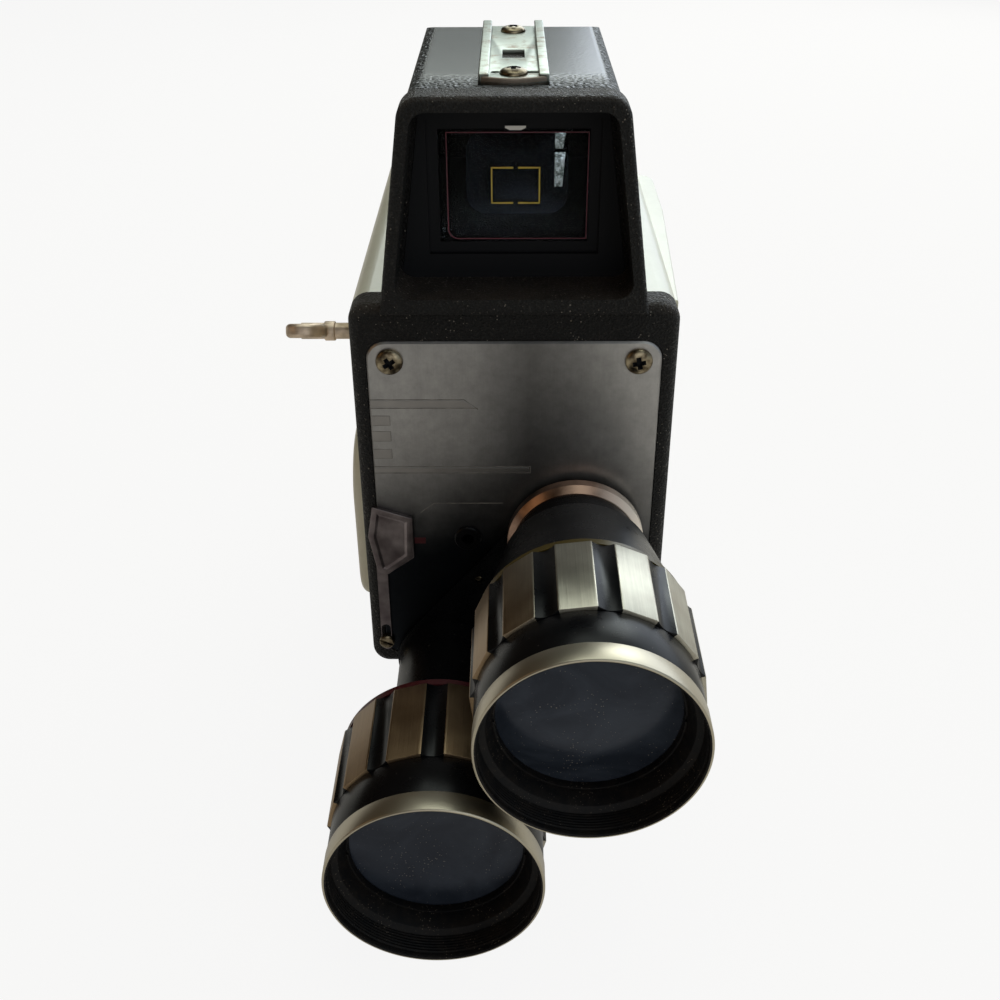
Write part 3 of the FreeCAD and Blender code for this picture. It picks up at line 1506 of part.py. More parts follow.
def finder_hood():
    y0 = behind(hood_front)
    y1 = behind(hood_back)
    shape = taper_block(hood_lip_z, hood_top, 0.0, hood_corner_radius, y0, y1)
    shape = shape.makeFillet(hood_nose_radius, edges_at(shape, AXIS_Y, y0))
    shape = shape.cut(box(-reach, reach, front + frame_setback - press_gap, y1 + 1,
                          hood_lip_z - 1, body_height))
    mouth = taper_block(body_height + hood_floor, hood_top - hood_top_wall, hood_side_wall, hood_inner_radius,
                        y0 - 1, y1 + 1, hood_inner_radius)
    return shape.cut(mouth).removeSplitter()


def finder_profile(inset):
    # side outline (y, z) of the finder body: level top, slope, upright back
    top = hood_top - finder_inset - inset
    return [(behind(hood_back), body_height), (behind(hood_back), top), (behind(finder_top_back), top),
            (behind(finder_back) - inset, body_height + finder_back_height - inset),
            (behind(finder_back) - inset, body_height)]


def finder_solid(inset):
    side = slab([(-reach, y, z) for y, z in finder_profile(inset)], Vector(2 * reach, 0, 0))
    top = hood_top - finder_inset - inset
    block = taper_block(body_height, top, finder_inset + inset, max(finder_corner_radius - inset, 0.6),
                        behind(hood_back), behind(finder_back))
    return block.common(side)


def finder_housing():
    shape = finder_solid(skin_thickness)
    inner = finder_solid(skin_thickness + finder_wall)
    rear_inside = behind(finder_back) - skin_thickness - finder_wall
    keep = box(-reach, reach, behind(recess_back), rear_inside, body_height + finder_wall, reach)
    shape = shape.cut(inner.common(keep))
    mouth = taper_block(body_height + hood_floor, hood_top - hood_top_wall, hood_side_wall, hood_inner_radius,
                        behind(hood_back) - 1, behind(recess_back), hood_inner_radius)
    shape = shape.cut(mouth)
    rear = behind(finder_back)
    shape = shape.cut(rod_y(eyepiece_radius + screw_gap, rear - finder_bore_length, rear + 1,
                            0, finder_axis_z))
    for y in channel_screw_places():
        shape = shape.cut(rod_z(screw_shank_radius + screw_gap, finder_axis_z, reach, 0, y))
    return shape.removeSplitter()


def finder_covering():
    skin = finder_solid(0.0).cut(finder_solid(skin_thickness).fuse(
        box(-reach, reach, -reach, reach, body_height - 1, body_height + skin_hem)))
    y_end = behind(finder_back) - skin_thickness
    skin = skin.common(box(-reach, reach, -reach, y_end, body_height, reach))
    half = channel_width / 2
    seat = box(-half, half, behind(channel_front), behind(channel_back), finder_axis_z, reach)
    return skin.cut(seat).removeSplitter()


def window_frame():
    y0 = behind(recess_back)
    y1 = y0 + window_frame_depth
    inset = finder_inset + skin_thickness + finder_wall + seat_gap
    low = body_height + finder_wall + seat_gap
    shape = taper_block(low, hood_top - inset, inset, window_corner_radius, y0, y1, window_corner_radius)
    shape = shape.cut(box(-window_half_width, window_half_width, y0 - 1, y1 + 1, window_bottom, window_top))
    step = window_step
    shape = shape.cut(box(-window_half_width - step, window_half_width + step, y0 - 1, y0 + window_step_depth,
                          window_bottom - step, window_top + step))
    return shape


def finder_glasses():
    # front window, printed frame glass and the lens at the eye
    y1 = behind(recess_back) + window_frame_depth - window_glass_inset
    half = window_half_width - screw_gap
    window = rounded_block_y(-half, half, window_bottom + screw_gap, window_top - screw_gap,
                             window_glass_radius, y1 - front_glass_thickness, y1)
    y2 = behind(recess_back) + window_frame_depth + frame_glass_gap
    half = window_half_width + frame_glass_margin
    printed = box(-half, half, y2, y2 + frame_glass_thickness, window_bottom - frame_glass_margin,
                  window_top + frame_glass_margin - frame_glass_drop)
    y3 = behind(finder_back) - rear_lens_inset
    eye_lens = lens_disc(0, finder_axis_z, y3, rear_lens_radius - press_gap, rear_lens_edge, rear_lens_crown)
    return [window, printed, eye_lens]


def eyepiece_tube():
    y1 = behind(finder_back) + eyepiece_proud
    y0 = y1 - eyepiece_length
    z = finder_axis_z
    shape = rod_y(eyepiece_radius, y0, y1, 0, z)
    return shape.cut(rod_y(rear_lens_radius, y0 - 1, y1 + 1, 0, z))


def eyecup():
    z = finder_axis_z
    y0 = behind(finder_back) + face_gap
    y1 = y0 + eyecup_length
    seat = behind(finder_back) + eyepiece_proud + face_gap
    crest = eyecup_radius - eyecup_taper
    rim = eyecup_radius - 2 * eyecup_taper - eyecup_edge / 2
    profile = [(y0, eyepiece_radius + screw_gap), (y0, crest), (y0 + eyecup_edge, eyecup_radius),
               (y1 - eyecup_edge, crest), (y1, rim), (y1, rim - eyecup_lip),
               (seat + eyecup_lip, eyecup_bore_radius), (seat, eyecup_bore_radius),
               (seat, eyepiece_radius + screw_gap)]
    return turned_y(profile, 0, z)


def channel_screw_places():
    return [behind(channel_screw_front), behind(channel_screw_rear)]


def channel_floor_z():
    return hood_top - finder_inset - skin_thickness


def accessory_channel():
    half = channel_width / 2 - screw_gap
    y0 = behind(channel_front) + screw_gap
    y1 = behind(channel_back) - screw_gap
    z0 = channel_floor_z()
    z1 = z0 + channel_height
    shape = box(-half, half, y0, y1, z0, z0 + channel_base)
    for side in (-1, 1):
        outer = side * half
        inner = side * (half - channel_wall)
        lip = side * (half - channel_wall - channel_lip)
        shape = shape.fuse(box(min(outer, inner), max(outer, inner), y0, y1, z0, z1))
        shape = shape.fuse(box(min(outer, lip), max(outer, lip), y0, y1, z1 - channel_wall, z1))
    slot = channel_slot_width / 2
    y2 = behind(channel_slot_front)
    shape = shape.cut(box(-slot, slot, y2, y2 + channel_slot_length, z0 - 1, z0 + channel_base + seat_gap))
    for y in channel_screw_places():
        shape = shape.cut(rod_z(screw_shank_radius + screw_gap, z0 - 1, z0 + 2, 0, y))
    trim = box(-half, half, y0, y1, z0 - 1, z1 + 1)
    trim = trim.makeFillet(channel_corner_radius, edges_along(trim, AXIS_Z, lambda c: abs(c.y - y0) < 0.1))
    return shape.common(trim).removeSplitter()


def lens_nodes(name, x, z, outline, flute_angle, crown):
    return {
        name + "_neck": lens_neck(outline, x, z),
        name + "_rear_glass": lens_rear_glass(x, z),
        name + "_colour_ring": lens_colour_ring(x, z),
        name + "_grip_ring": lens_grip_ring(x, z, flute_angle),
        name + "_cell": lens_cell(x, z),
        name + "_front_ring": lens_front_ring(x, z),
        name + "_front_glass": lens_front_glass(x, z, crown),
    }


def all_nodes():
    nodes = {
        "front_frame": front_frame(),
        "front_plate": front_plate(),
        "pan_screws": pan_screws(),
        "body_shell": body_shell(),
        "side_cover": side_cover(),
        "film_door": film_door(),
        "hinge_pins": hinge_pins(),
        "latch_knob": latch_knob(),
        "tripod_bush": tripod_bush(),
        "turret_bar": turret_bar(),
        "turret_pivot": turret_pivot(),
        "pivot_spacer": pivot_spacer(),
        "detent_ball": detent_ball(),
        "detent_spring": detent_spring(),
        "tele_collar": tele_collar(),
        "release_tab": release_tab(),
        "release_screw": release_screw(),
        "release_spring": release_spring(),
        "release_socket": release_socket(),
        "taking_lens_barrel": taking_lens_barrel(),
        "taking_lens_glass": taking_lens_glass(),
        "shutter_disc": shutter_disc(),
        "claw_arm": claw_arm(),
        "film_gate": film_gate(),
        "pressure_plate": pressure_plate(),
        "mechanism_plate": mechanism_plate(),
        "plate_pillars": plate_pillars(),
        "key_wing": key_wing(),
        "key_arbor": key_arbor(),
        "winding_pawl": winding_pawl(),
        "spring_barrel": spring_barrel(),
        "mainspring": mainspring(),
        "centre_wheel": centre_wheel(),
        "crown_wheel": crown_wheel(),
        "takeup_spindle": takeup_spindle(),
        "takeup_spool": film_spool(takeup_place),
        "supply_spool": film_spool(supply_place),
        "counter_dial": counter_dial(),
        "finder_hood": finder_hood(),
        "finder_housing": finder_housing(),
        "finder_covering": finder_covering(),
        "window_frame": window_frame(),
        "finder_glasses": finder_glasses(),
        "eyepiece_tube": eyepiece_tube(),
        "eyecup": eyecup(),
        "accessory_channel": accessory_channel(),
    }
    nodes.update(lens_nodes("tele", tele_x, tele_z, tele_neck_outline(), tele_flute_angle, glass_crown))
    nodes.update(lens_nodes("wide", wide_x, wide_z, wide_neck_outline(), wide_flute_angle, -glass_crown))
    return nodes


def save(name, shape):
    if isinstance(shape, list):
        shape = Part.makeCompound(shape)
    shape.exportStep(os.path.join("parts", name + ".step"))


os.makedirs("parts", exist_ok=True)
made = all_nodes()
for name, shape in made.items():
    save(name, shape)
print(len(made), "nodes")
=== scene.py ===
import json
import math

import bpy
from bpy.props import FloatProperty, FloatVectorProperty, PointerProperty
from mathutils import Matrix, Vector


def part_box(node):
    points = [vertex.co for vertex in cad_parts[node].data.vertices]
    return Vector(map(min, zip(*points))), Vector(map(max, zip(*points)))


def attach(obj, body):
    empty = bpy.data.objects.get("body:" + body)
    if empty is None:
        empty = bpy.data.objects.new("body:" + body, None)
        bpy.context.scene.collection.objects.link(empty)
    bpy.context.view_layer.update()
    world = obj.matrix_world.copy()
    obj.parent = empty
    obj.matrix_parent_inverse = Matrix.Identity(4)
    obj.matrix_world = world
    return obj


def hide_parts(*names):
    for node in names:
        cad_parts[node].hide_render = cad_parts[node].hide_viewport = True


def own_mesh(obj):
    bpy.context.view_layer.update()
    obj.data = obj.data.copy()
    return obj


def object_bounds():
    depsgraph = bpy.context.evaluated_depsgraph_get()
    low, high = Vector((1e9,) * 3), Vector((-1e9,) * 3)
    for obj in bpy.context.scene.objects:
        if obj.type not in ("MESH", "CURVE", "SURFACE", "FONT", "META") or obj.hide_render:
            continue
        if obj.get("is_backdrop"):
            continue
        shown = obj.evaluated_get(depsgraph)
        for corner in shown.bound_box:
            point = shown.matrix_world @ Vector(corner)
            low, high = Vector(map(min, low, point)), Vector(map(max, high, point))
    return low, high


bl_info = {
    "name": "Turret movie camera",
    "version": (1, 0, 0),
    "blender": (4, 5, 0),
    "location": "View3D > Sidebar > Movie camera",
    "description": "Gives a spring-driven turret movie camera its finishes and fine parts",
    "category": "Add Mesh",
}

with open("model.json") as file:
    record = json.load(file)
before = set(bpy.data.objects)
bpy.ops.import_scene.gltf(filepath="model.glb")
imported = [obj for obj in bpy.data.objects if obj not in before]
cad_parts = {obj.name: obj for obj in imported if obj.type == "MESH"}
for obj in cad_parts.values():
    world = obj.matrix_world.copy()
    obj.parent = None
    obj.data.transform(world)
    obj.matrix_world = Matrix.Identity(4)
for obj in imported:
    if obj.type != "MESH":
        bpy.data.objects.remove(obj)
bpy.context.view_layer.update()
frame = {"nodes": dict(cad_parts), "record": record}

MM = 0.001

# Viewpoint of the photograph
VIEW_PLACE = Vector((-0.72, -268.35, 184.55)) * MM
VIEW_PITCH = 31.715
VIEW_YAW = -0.311
VIEW_ROLL = 0.25
VIEW_LENS = 42.918
VIEW_SENSOR = 36.0
VIEW_SHIFT = (-0.00517, -0.00845)
VIEW_NEAR = 0.01

# Stage: the floor's size and its glow for the camera and in mirrors, the room's turn from dim to pale, and the lights
# as name, place, size, power and colour
FLOOR_SIZE = 4.0
FLOOR_SEEN = 0.9
FLOOR_MIRRORED = 0.3
ROOM_LEFT = -0.35
ROOM_RIGHT = 0.6
LIGHT_TARGET = (0.0, 0.0, 0.05)
LIGHTS = [
    ("window_light", (0.5, 0.75, 0.4), (1.05, 0.7), 4.0, "eaf3ff"),
    ("skylight", (0.17, 0.8, 0.62), (0.8, 0.5), 3.4, "f2fbf4"),
    ("ceiling_light", (0.05, 0.1, 0.9), (0.7, 0.7), 2.6, "f6fff6"),
    ("room_light", (-0.7, -0.2, 0.4), (0.5, 0.5), 0.3, "ffd2a0"),
    ("front_light", (0.15, -0.8, 0.35), (0.8, 0.5), 1.0, "ffffff"),
]

# Places read from the frame
PLATE_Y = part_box("front_plate")[0].y
BODY_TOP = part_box("front_frame")[1].z
BACK_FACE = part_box("body_shell")[1].y
TAB_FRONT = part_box("release_tab")[0].y
FINDER_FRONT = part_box("finder_covering")[0].y
WINDOW_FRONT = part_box("window_frame")[0].y
WINDOW_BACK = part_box("window_frame")[1].y
EYE_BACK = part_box("eyepiece_tube")[1].y
EYE_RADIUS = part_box("eyepiece_tube")[1].x

# Where wear begins and is complete backwards on the leathercloth; where painted shade gives way to light to the right
# on the lands; where a painted highlight begins and is full to the right on the collar; where painted shade gives way
# to light upwards on the face plate, whose sides are this far from its middle
LEATHER_WORN = -26.0 * MM
LANDS_SHADED = -6.0 * MM
LANDS_LIT = 9.0 * MM
COLLAR_HIGHLIGHT_START = 17.0 * MM
COLLAR_HIGHLIGHT_FULL = 27.0 * MM
PLATE_SHADED = 40.0 * MM
PLATE_UNSHADED = 73.0 * MM
PLATE_SIDE = 30.0 * MM
# Painted light and shade across the face plate from left to right, as share and tone: darkest a little right of its
# middle, and a painted highlight near its right edge
PLATE_LIGHT_TONES = [(0.1, "dedede"), (0.35, "d6d6d6"), (0.55, "a4a4a4"), (0.68, "c0c0c0"), (0.9, "ffffff")]

# Fit of a part drawn over another and of a printed line on its ground, the least radius of a turned part, how near
# points are merged, and the bend in degrees up to which copied faces count as level
HAIR = 0.02 * MM
POLE = 0.004 * MM
WELD = 0.01 * MM
COPY_WELD = 0.001 * MM
LEVEL_ANGLE = 0.5

# How far the edges of each kind of part are eased
SCREW_EASE = 0.05 * MM
RIM_EASE = 0.06 * MM
CELL_EASE = 0.08 * MM
CLIP_EASE = 0.1 * MM
TAB_EASE = 0.12 * MM
DISH_EASE = 0.15 * MM
BASE_EASE = 0.15 * MM
RAIL_EASE = 0.28 * MM
APRON_EASE = 0.3 * MM
SLEEVE_EASE = 0.3 * MM
CUP_EASE = 0.25 * MM

# Sides of turned parts, by how large they show
ROUND_SIDES = 144
SMALL_SIDES = 96
EYE_SIDES = 72
SCREW_SIDES = 48
HOLE_SIDES = 24

# How square a face or edge stands to an axis to count as facing or running along it
SQUARE = 0.9

# Grip rings of the converter lenses
FLUTE_PITCH = 30.0
FLUTE_HALF = 6.0
FLUTE_DEPTH = 0.85 * MM
FLUTE_STEP = 1.2
FLUTE_ANGLE = {"tele": 21.6, "wide": 0.6}
FLUTE_PAINT = 5.8
GRIP_CHAMFER = 0.35 * MM
GRIP_NEAR = 1.02
TUBE_RADIUS = 18.96 * MM

# Front mounts of the converter lenses, from the band's rear face
BAND_RADIUS = 20.9 * MM
NOSE_RADIUS = 20.7 * MM
SKIRT_RADIUS = 17.35 * MM
SKIRT_BORE = 15.95 * MM
GLASS_BORE = 18.35 * MM
GLASS_VIEW = 17.0 * MM
BAND_BACK = 55.6 * MM
BAND_FRONT = 64.3 * MM
GLASS_BACK = 56.4 * MM
GLASS_SEAT = 58.65 * MM
FUNNEL_FRONT = 63.2 * MM
FUNNEL_RADIUS = 18.7 * MM
THREAD_BACK = 63.8 * MM
THREAD_FRONT = 67.7 * MM
THREAD_RADIUS = 20.1 * MM
THREAD_DEPTH = 0.22 * MM
RING_RADIUS = 21.06 * MM
RING_BORE = 20.1 * MM
RIM_LIP = 20.62 * MM
RIM_ROUND = 0.22 * MM
RIM_DEPTH = 0.95 * MM

# Engraving on the face plate, as (x, z) corners in millimetres
PLATE_LEFT = -29.9
PLATE_LINES = [
    [(PLATE_LEFT, 70.8), (-10.4, 70.8), (-7.5, 68.5)],
    [(PLATE_LEFT, 68.8), (-7.6, 68.8)],
    [(PLATE_LEFT, 54.7), (3.5, 54.7), (3.5, 53.1), (PLATE_LEFT, 53.1)],
    [(-20.5, 43.0), (-17.5, 45.4), (-2.4, 45.4)],
]
BRACKET_RIGHT = -26.0
BRACKET_ROWS = [(67.0, 64.8), (63.3, 61.0), (59.0, 56.8)]
BAND_BAR = [(PLATE_LEFT, 54.4), (3.2, 54.4), (3.2, 53.3), (PLATE_LEFT, 53.3)]
POINTED_BAR = [(PLATE_LEFT, 70.6), (-10.5, 70.6), (-8.1, 69.0), (PLATE_LEFT, 69.0)]
BAR_PROUD = 0.06 * MM
BAR_EASE = 0.8 * BAR_PROUD
INDEX_MARK = (-20.9, 35.6)
INDEX_SIZE = (2.5, 1.6)

# Cross-recess screws
SCREW_RADIUS = 2.8 * MM
SCREW_DOME = 1.1 * MM
SCREW_HEAD = 1.6 * MM
SHANK_RADIUS = 1.5 * MM
SCREW_END = 5.4 * MM
RECESS_SPAN = 3.9 * MM
RECESS_WIDTH = 1.35 * MM
RECESS_SHADE = 0.12 * MM
RECESS_DEPTH = 1.2 * MM
RECESS_TAPER = (0.45, 1, 0.5)
DOME_STEP = 15
SCREW_SPIN = 37

# Slotted screw that guides the release tab
GUIDE_CHAMFER = (0.3 * MM, 0.2 * MM)
GUIDE_NECK = 2.0 * MM
GUIDE_SLOT = (0.6 * MM, 0.5 * MM)
GUIDE_TURN = 25

# Printing in the finder window
RED_FRAME = (-13.1, 14.5, 101.6, 122.8)
YELLOW_FRAME = (-4.4, 5.1, 108.0, 115.1)
YELLOW_GAP = 0.5 * MM
NOTCH_PLACE = (0.3 * MM, 123.9 * MM)
NOTCH_SIZE = (2.0 * MM, 1.1 * MM, 0.4 * MM)
RED_LINE = 0.3 * MM
RED_CORNER = 2.0 * MM
RED_CORNER_STEP = 15
YELLOW_LINE = 0.42 * MM
PANE_CORNER = 1.0 * MM
PANE_DEPTH = 0.96 * MM

# Oblong lens deep in the finder and its two bright leaves, which stand in for a reflection streak on the window
LENS_HALF = (10.2 * MM, 8.4 * MM)
LENS_MIDDLE = (0.7 * MM, 113.4 * MM)
LENS_CORNER = 4.0 * MM
LENS_FRONT = -31.5 * MM
LENS_THICKNESS = 4.0 * MM
LENS_HOLLOW = 1.6 * MM
LENS_RINGS = 9
CLIP_LEFT = 8.1 * MM
CLIP_RIGHT = 10.3 * MM
CLIP_SLANT = 0.5 * MM
CLIP_THICKNESS = 0.4 * MM
CLIP_SPANS = [(110.6 * MM, 117.6 * MM), (118.2 * MM, 121.6 * MM)]
EYE_CROWN = 1.6 * MM
EYE_RINGS = 10

# Front elements of the converter lenses and their setting dots
GLASS_EDGE = 2.2 * MM
GLASS_HOLLOW = 1.6 * MM
GLASS_RIM = 0.4 * MM
GLASS_RINGS = 16
RETAINER_FRONT = 60.2 * MM
RETAINER_RADIUS = 17.6 * MM
RETAINER_FACE = 0.15 * MM
RETAINER_SLOT = 1.2 * MM
DOT_RADIUS = 0.55 * MM
DOT_FLAT = 0.3
DOT_SIDES = 16
DOT_TURN = 82.0
FLANGE_RADIUS = 20.2 * MM
FLANGE_FACE = 33.0 * MM

# Accessory channel: holes as (x, y from the front, radius) and a notch as x and y spans from the front
CHANNEL_HOLES = [(-3.6 * MM, 9.2 * MM, 0.9 * MM)]
CHANNEL_CUTS = [(-2.3 * MM, 2.3 * MM, 22.0 * MM, 30.0 * MM), (2.6 * MM, 5.0 * MM, 8.0 * MM, 10.2 * MM)]
CHANNEL_BASE = 0.9 * MM
CHANNEL_BOW = 2.2 * MM
BOW_STEPS = 12
CHANNEL_DRILL = 4.0 * MM
CHANNEL_LIP = 0.6 * MM
CHANNEL_WALL = 0.9 * MM
CHANNEL_RAIL = 2.0 * MM
CHANNEL_SETBACK = 1.9 * MM
APRON_WALL = 0.7 * MM
APRON_HEIGHT = 1.7 * MM

# Release tab, as (x, z) corners in millimetres
TAB_OUTLINE = [(-31.0, 45.1), (-22.3, 42.1), (-22.7, 31.7), (-28.3, 27.2), (-30.6, 27.8), (-32.3, 37.3)]
TAB_PROUD = 0.25 * MM
TAB_SINK = 0.1 * MM
TAB_RIM = 1.1 * MM
TAB_DISH = 0.22 * MM
TAB_FACING = 0.99

# Coil springs of the release tab and of the turret's click ball
SPRING_WIRE = 0.4 * MM
SPRING_STEPS = 16
RELEASE_PITCH = 1.1 * MM
DETENT_PITCH = 0.8 * MM

# Winged grip of the winding key
WING_INNER = -45.4 * MM
WING_HALF = 13.0 * MM
WING_CORNER = 4.0 * MM
WING_THICKNESS = 3.4 * MM
WING_EDGE = 1.1 * MM
WING_TILT = -24.0
WING_DISH = 9.0 * MM
WING_DISH_DEPTH = 0.5 * MM
WING_DISH_PLACE = 7.6 * MM
WING_SLEEVE = 2.4 * MM
KEY_SHAFT = 2.0 * MM

# Eyecup ribs and footage dial printing
CUP_RIBS = 4
CUP_RIB = 0.35 * MM
CUP_RIB_SHAPE = [(0.0, 1), (0.25, 0), (0.6, 0), (0.85, 1)]
CUP_PLAIN = 0.9 * MM
CUP_LIP = 0.8 * MM
CUP_BORE = 8.0 * MM
DIAL_STEPS = 30
DIAL_NUMBERED = 5
DIAL_TEXT = 3.0 * MM
DIAL_NUMBERS = 6.4 * MM
DIAL_EDGE = 9.4 * MM
DIAL_TICK = 0.25 * MM
DIAL_TICK_LENGTH = 1.0 * MM

# Bezel and glass of the counter window in the back, and the marks that the latch points to
COUNTER_HALF = (3.5 * MM, 2.2 * MM)
COUNTER_HEIGHT = 32.5 * MM
BEZEL_WIDTH = 0.8 * MM
BEZEL_PROUD = 0.04 * MM
COUNTER_GLASS = (0.9 * MM, 0.4 * MM)
LATCH_HEIGHT = 47.0 * MM
LATCH_DOT = 0.9 * MM
LATCH_DOT_REACH = 9.6 * MM
LATCH_DOT_PROUD = 0.06 * MM


def linear(code):
    """Turns an sRGB hex colour into the linear values that Blender works in"""
    shares = [int(code[i:i + 2], 16) / 255 for i in (0, 2, 4)]
    return tuple(s / 12.92 if s <= 0.04045 else ((s + 0.055) / 1.055) ** 2.4 for s in shares)


def colour_property(name, description, code):
    return FloatVectorProperty(name=name, description=description, subtype="COLOR", default=linear(code),
                               min=0.0, max=1.0)


def length_property(name, description, millimetres):
    return FloatProperty(name=name, description=description, unit="LENGTH", default=millimetres * MM, min=0.0)


class CameraColours(bpy.types.PropertyGroup):
    casting: colour_property("Casting", "Wrinkle enamel of the front frame and hood", "080706")
    shell: colour_property("Shell", "Stoved enamel of the body shell and its covers", "dfdccb")
    plate: colour_property("Face plate", "Satin aluminium of the face plate", "bab8b6")
    leather: colour_property("Leathercloth", "Grained cloth round the finder", "0b0d0d")
    grip: colour_property("Grip lands", "Turned aluminium of the grip rings", "cfcdbd")
    collar: colour_property("Collar", "Coppered brass of the lens collar", "b99884")
    key: colour_property("Winding key", "Tarnished metal of the winding key", "e6d2bd")
    yellow: colour_property("Tele ring", "Enamel in the ring of the tele lens", "4a3d14")
    red: colour_property("Wide ring", "Enamel in the ring of the wide lens", "430c13")


class CameraSizes(bpy.types.PropertyGroup):
    crinkle: length_property("Crinkle grain", "Width of one fold of the wrinkle enamel", 0.5)
    leather: length_property("Leather grain", "Width of one pebble of the leathercloth", 1.3)
    line: length_property("Engraved line", "Width of the lines on the face plate", 0.22)
    burr: length_property("Flute burr", "Bright edge left where the flutes were cut", 0.16)
    thread: length_property("Filter thread", "Pitch of the thread inside the front rings", 0.6)


def colours():
    return bpy.context.scene.movie_camera_colours


def sizes():
    return bpy.context.scene.movie_camera_sizes


# Materials

def new_material(name):
    material = bpy.data.materials.new(name)
    material.use_nodes = True
    material.node_tree.nodes.clear()
    return material, material.node_tree


def add_node(tree, kind, settings=None, links=None):
    """Adds one shader node, with settings by property, socket name or socket number, and links into its sockets from
    other sockets, or from nodes, whose first output in use is then meant"""
    node = tree.nodes.new("ShaderNode" + kind)
    for key, value in (settings or {}).items():
        if isinstance(key, str) and hasattr(node, key):
            setattr(node, key, value)
        else:
            node.inputs[key].default_value = value
    for key, source in (links or {}).items():
        if isinstance(source, bpy.types.Node):
            source = next(socket for socket in source.outputs if socket.enabled)
        tree.links.new(source, node.inputs[key])
    return node


def add_shader(tree, settings, links=None):
    shader = add_node(tree, "BsdfPrincipled", settings, links)
    add_node(tree, "OutputMaterial", links={"Surface": shader})


def opaque(colour):
    """Red, green, blue and alpha of a hex code or of a linear colour"""
    return (*(linear(colour) if isinstance(colour, str) else colour), 1.0)


def own_place(tree):
    """Where a point lies on its own piece, which every pattern reads"""
    return add_node(tree, "TexCoord").outputs["Object"]


def up_dust(tree, low, high):
    """Share of dust that settles on faces that look upwards"""
    normal = add_node(tree, "NewGeometry").outputs["Normal"]
    upright = add_node(tree, "SeparateXYZ", {}, {0: normal}).outputs["Z"]
    return add_node(tree, "MapRange", {"From Min": low, "From Max": high}, {"Value": upright})


def dust(tree, place, pitch, size):
    """Mask of settled dust: round specks about one pitch apart, thinned out in clouds"""
    specks = add_node(tree, "TexVoronoi", {"Scale": 1 / pitch}, {"Vector": place})
    clouds = add_node(tree, "TexNoise", {"Scale": 1 / (9 * pitch), "Detail": 3.0}, {"Vector": place})
    reach = add_node(tree, "MapRange", {"From Min": 0.3, "From Max": 0.7, "To Max": size}, {"Value": clouds})
    return add_node(tree, "Math", {"operation": "LESS_THAN"}, {0: specks, 1: reach})


def relief(tree, place, width, detail, strength, depth, drawn_out=None):
    """Fine relief about so wide, drawn out along an axis where it is brushed or turned: its height and its bump"""
    if drawn_out:
        place = add_node(tree, "Mapping", {"Scale": drawn_out}, {"Vector": place})
    height = add_node(tree, "TexNoise", {"Scale": 1 / width, "Detail": detail}, {"Vector": place})
    return height, add_node(tree, "Bump", {"Strength": strength, "Distance": depth}, {"Height": height})


def smears(tree, place, width, detail, low, high):
    """Smears about so wide, and the roughness that wanders with them from low to high"""
    smear = add_node(tree, "TexNoise", {"Scale": 1 / width, "Detail": detail}, {"Vector": place})
    return smear, add_node(tree, "MapRange", {"To Min": low, "To Max": high}, {"Value": smear})


def patches(tree, place, pattern, tones, ends=(0.0, 1.0)):
    """Soft patches of a noise pattern, and the colour that runs with them between two tones"""
    patch = add_node(tree, "TexNoise", pattern, {"Vector": place})
    colour = add_node(tree, "ValToRGB", {}, {"Fac": patch})
    for element, end, tone in zip(colour.color_ramp.elements, ends, tones):
        element.position = end
        element.color = opaque(tone)
    return patch, colour


def crinkle_black():
    """Wrinkle enamel stoved on a die casting: a black skin of tight folds, glossier on their tops, which are painted
    paler as a painted highlight
    """
    material, tree = new_material("crinkle_enamel")
    grain = sizes().crinkle
    place = own_place(tree)
    folds = add_node(tree, "TexVoronoi", {"feature": "SMOOTH_F1", "Scale": 1 / grain, "Smoothness": 0.4},
                     {"Vector": place})
    swell = add_node(tree, "TexNoise", {"Scale": 1 / (0.7 * grain), "Detail": 4.0, "Roughness": 0.75},
                     {"Vector": place})
    height = add_node(tree, "Math", {"operation": "MULTIPLY_ADD", 1: 1.1}, {0: swell, 2: folds})
    bump = add_node(tree, "Bump", {"Strength": 1.0, "Distance": 1.3 * grain}, {"Height": height})
    tops = add_node(tree, "MapRange", {"From Min": 1.15, "From Max": 1.5}, {"Value": height})
    # Painted highlight: the tops of the folds are painted paler than the hollows
    skin = add_node(tree, "Mix", {"data_type": "RGBA", 6: opaque(colours().casting), 7: opaque("25211e")}, {0: tops})
    rough = add_node(tree, "MapRange", {"To Min": 0.62, "To Max": 0.2}, {"Value": tops})
    clouds = add_node(tree, "TexNoise", {"Scale": 1 / (6 * MM), "Detail": 6.0}, {"Vector": place})
    settled = add_node(tree, "Math", {"operation": "MULTIPLY"}, {0: up_dust(tree, 0.1, 0.8), 1: clouds})
    dusty = add_node(tree, "Mix", {"data_type": "RGBA", 7: opaque("483e35")}, {0: settled, 6: skin})
    # Light specks, partly settled dust and partly painted glints
    dust_and_glints = add_node(tree, "Mix", {"data_type": "RGBA", 7: opaque("8d857c")},
                       {0: dust(tree, place, 0.9 * MM, 0.21), 6: dusty})
    add_shader(tree, {"Specular IOR Level": 0.4}, {"Base Color": dust_and_glints, "Roughness": rough, "Normal": bump})
    return material


def matte_black():
    """Flat black optical paint that hides stray light inside the finder and the shutter"""
    material, tree = new_material("flat_black_paint")
    bump = relief(tree, own_place(tree), 0.35 * MM, 3.0, 0.4, 0.04 * MM)[1]
    add_shader(tree, {"Base Color": opaque("0f1013"), "Roughness": 0.7, "Specular IOR Level": 0.2}, {"Normal": bump})
    return material


def black_enamel():
    """Gloss black enamel over metal, with a faint orange peel and settled dust"""
    material, tree = new_material("gloss_black_enamel")
    place = own_place(tree)
    bump = relief(tree, place, 1.4 * MM, 2.0, 0.25, 0.03 * MM)[1]
    rough = smears(tree, place, 5 * MM, 6.0, 0.16, 0.42)[1]
    add_shader(tree, {"Base Color": opaque("08090b"), "Specular IOR Level": 0.25},
               {"Roughness": rough, "Normal": bump})
    return material


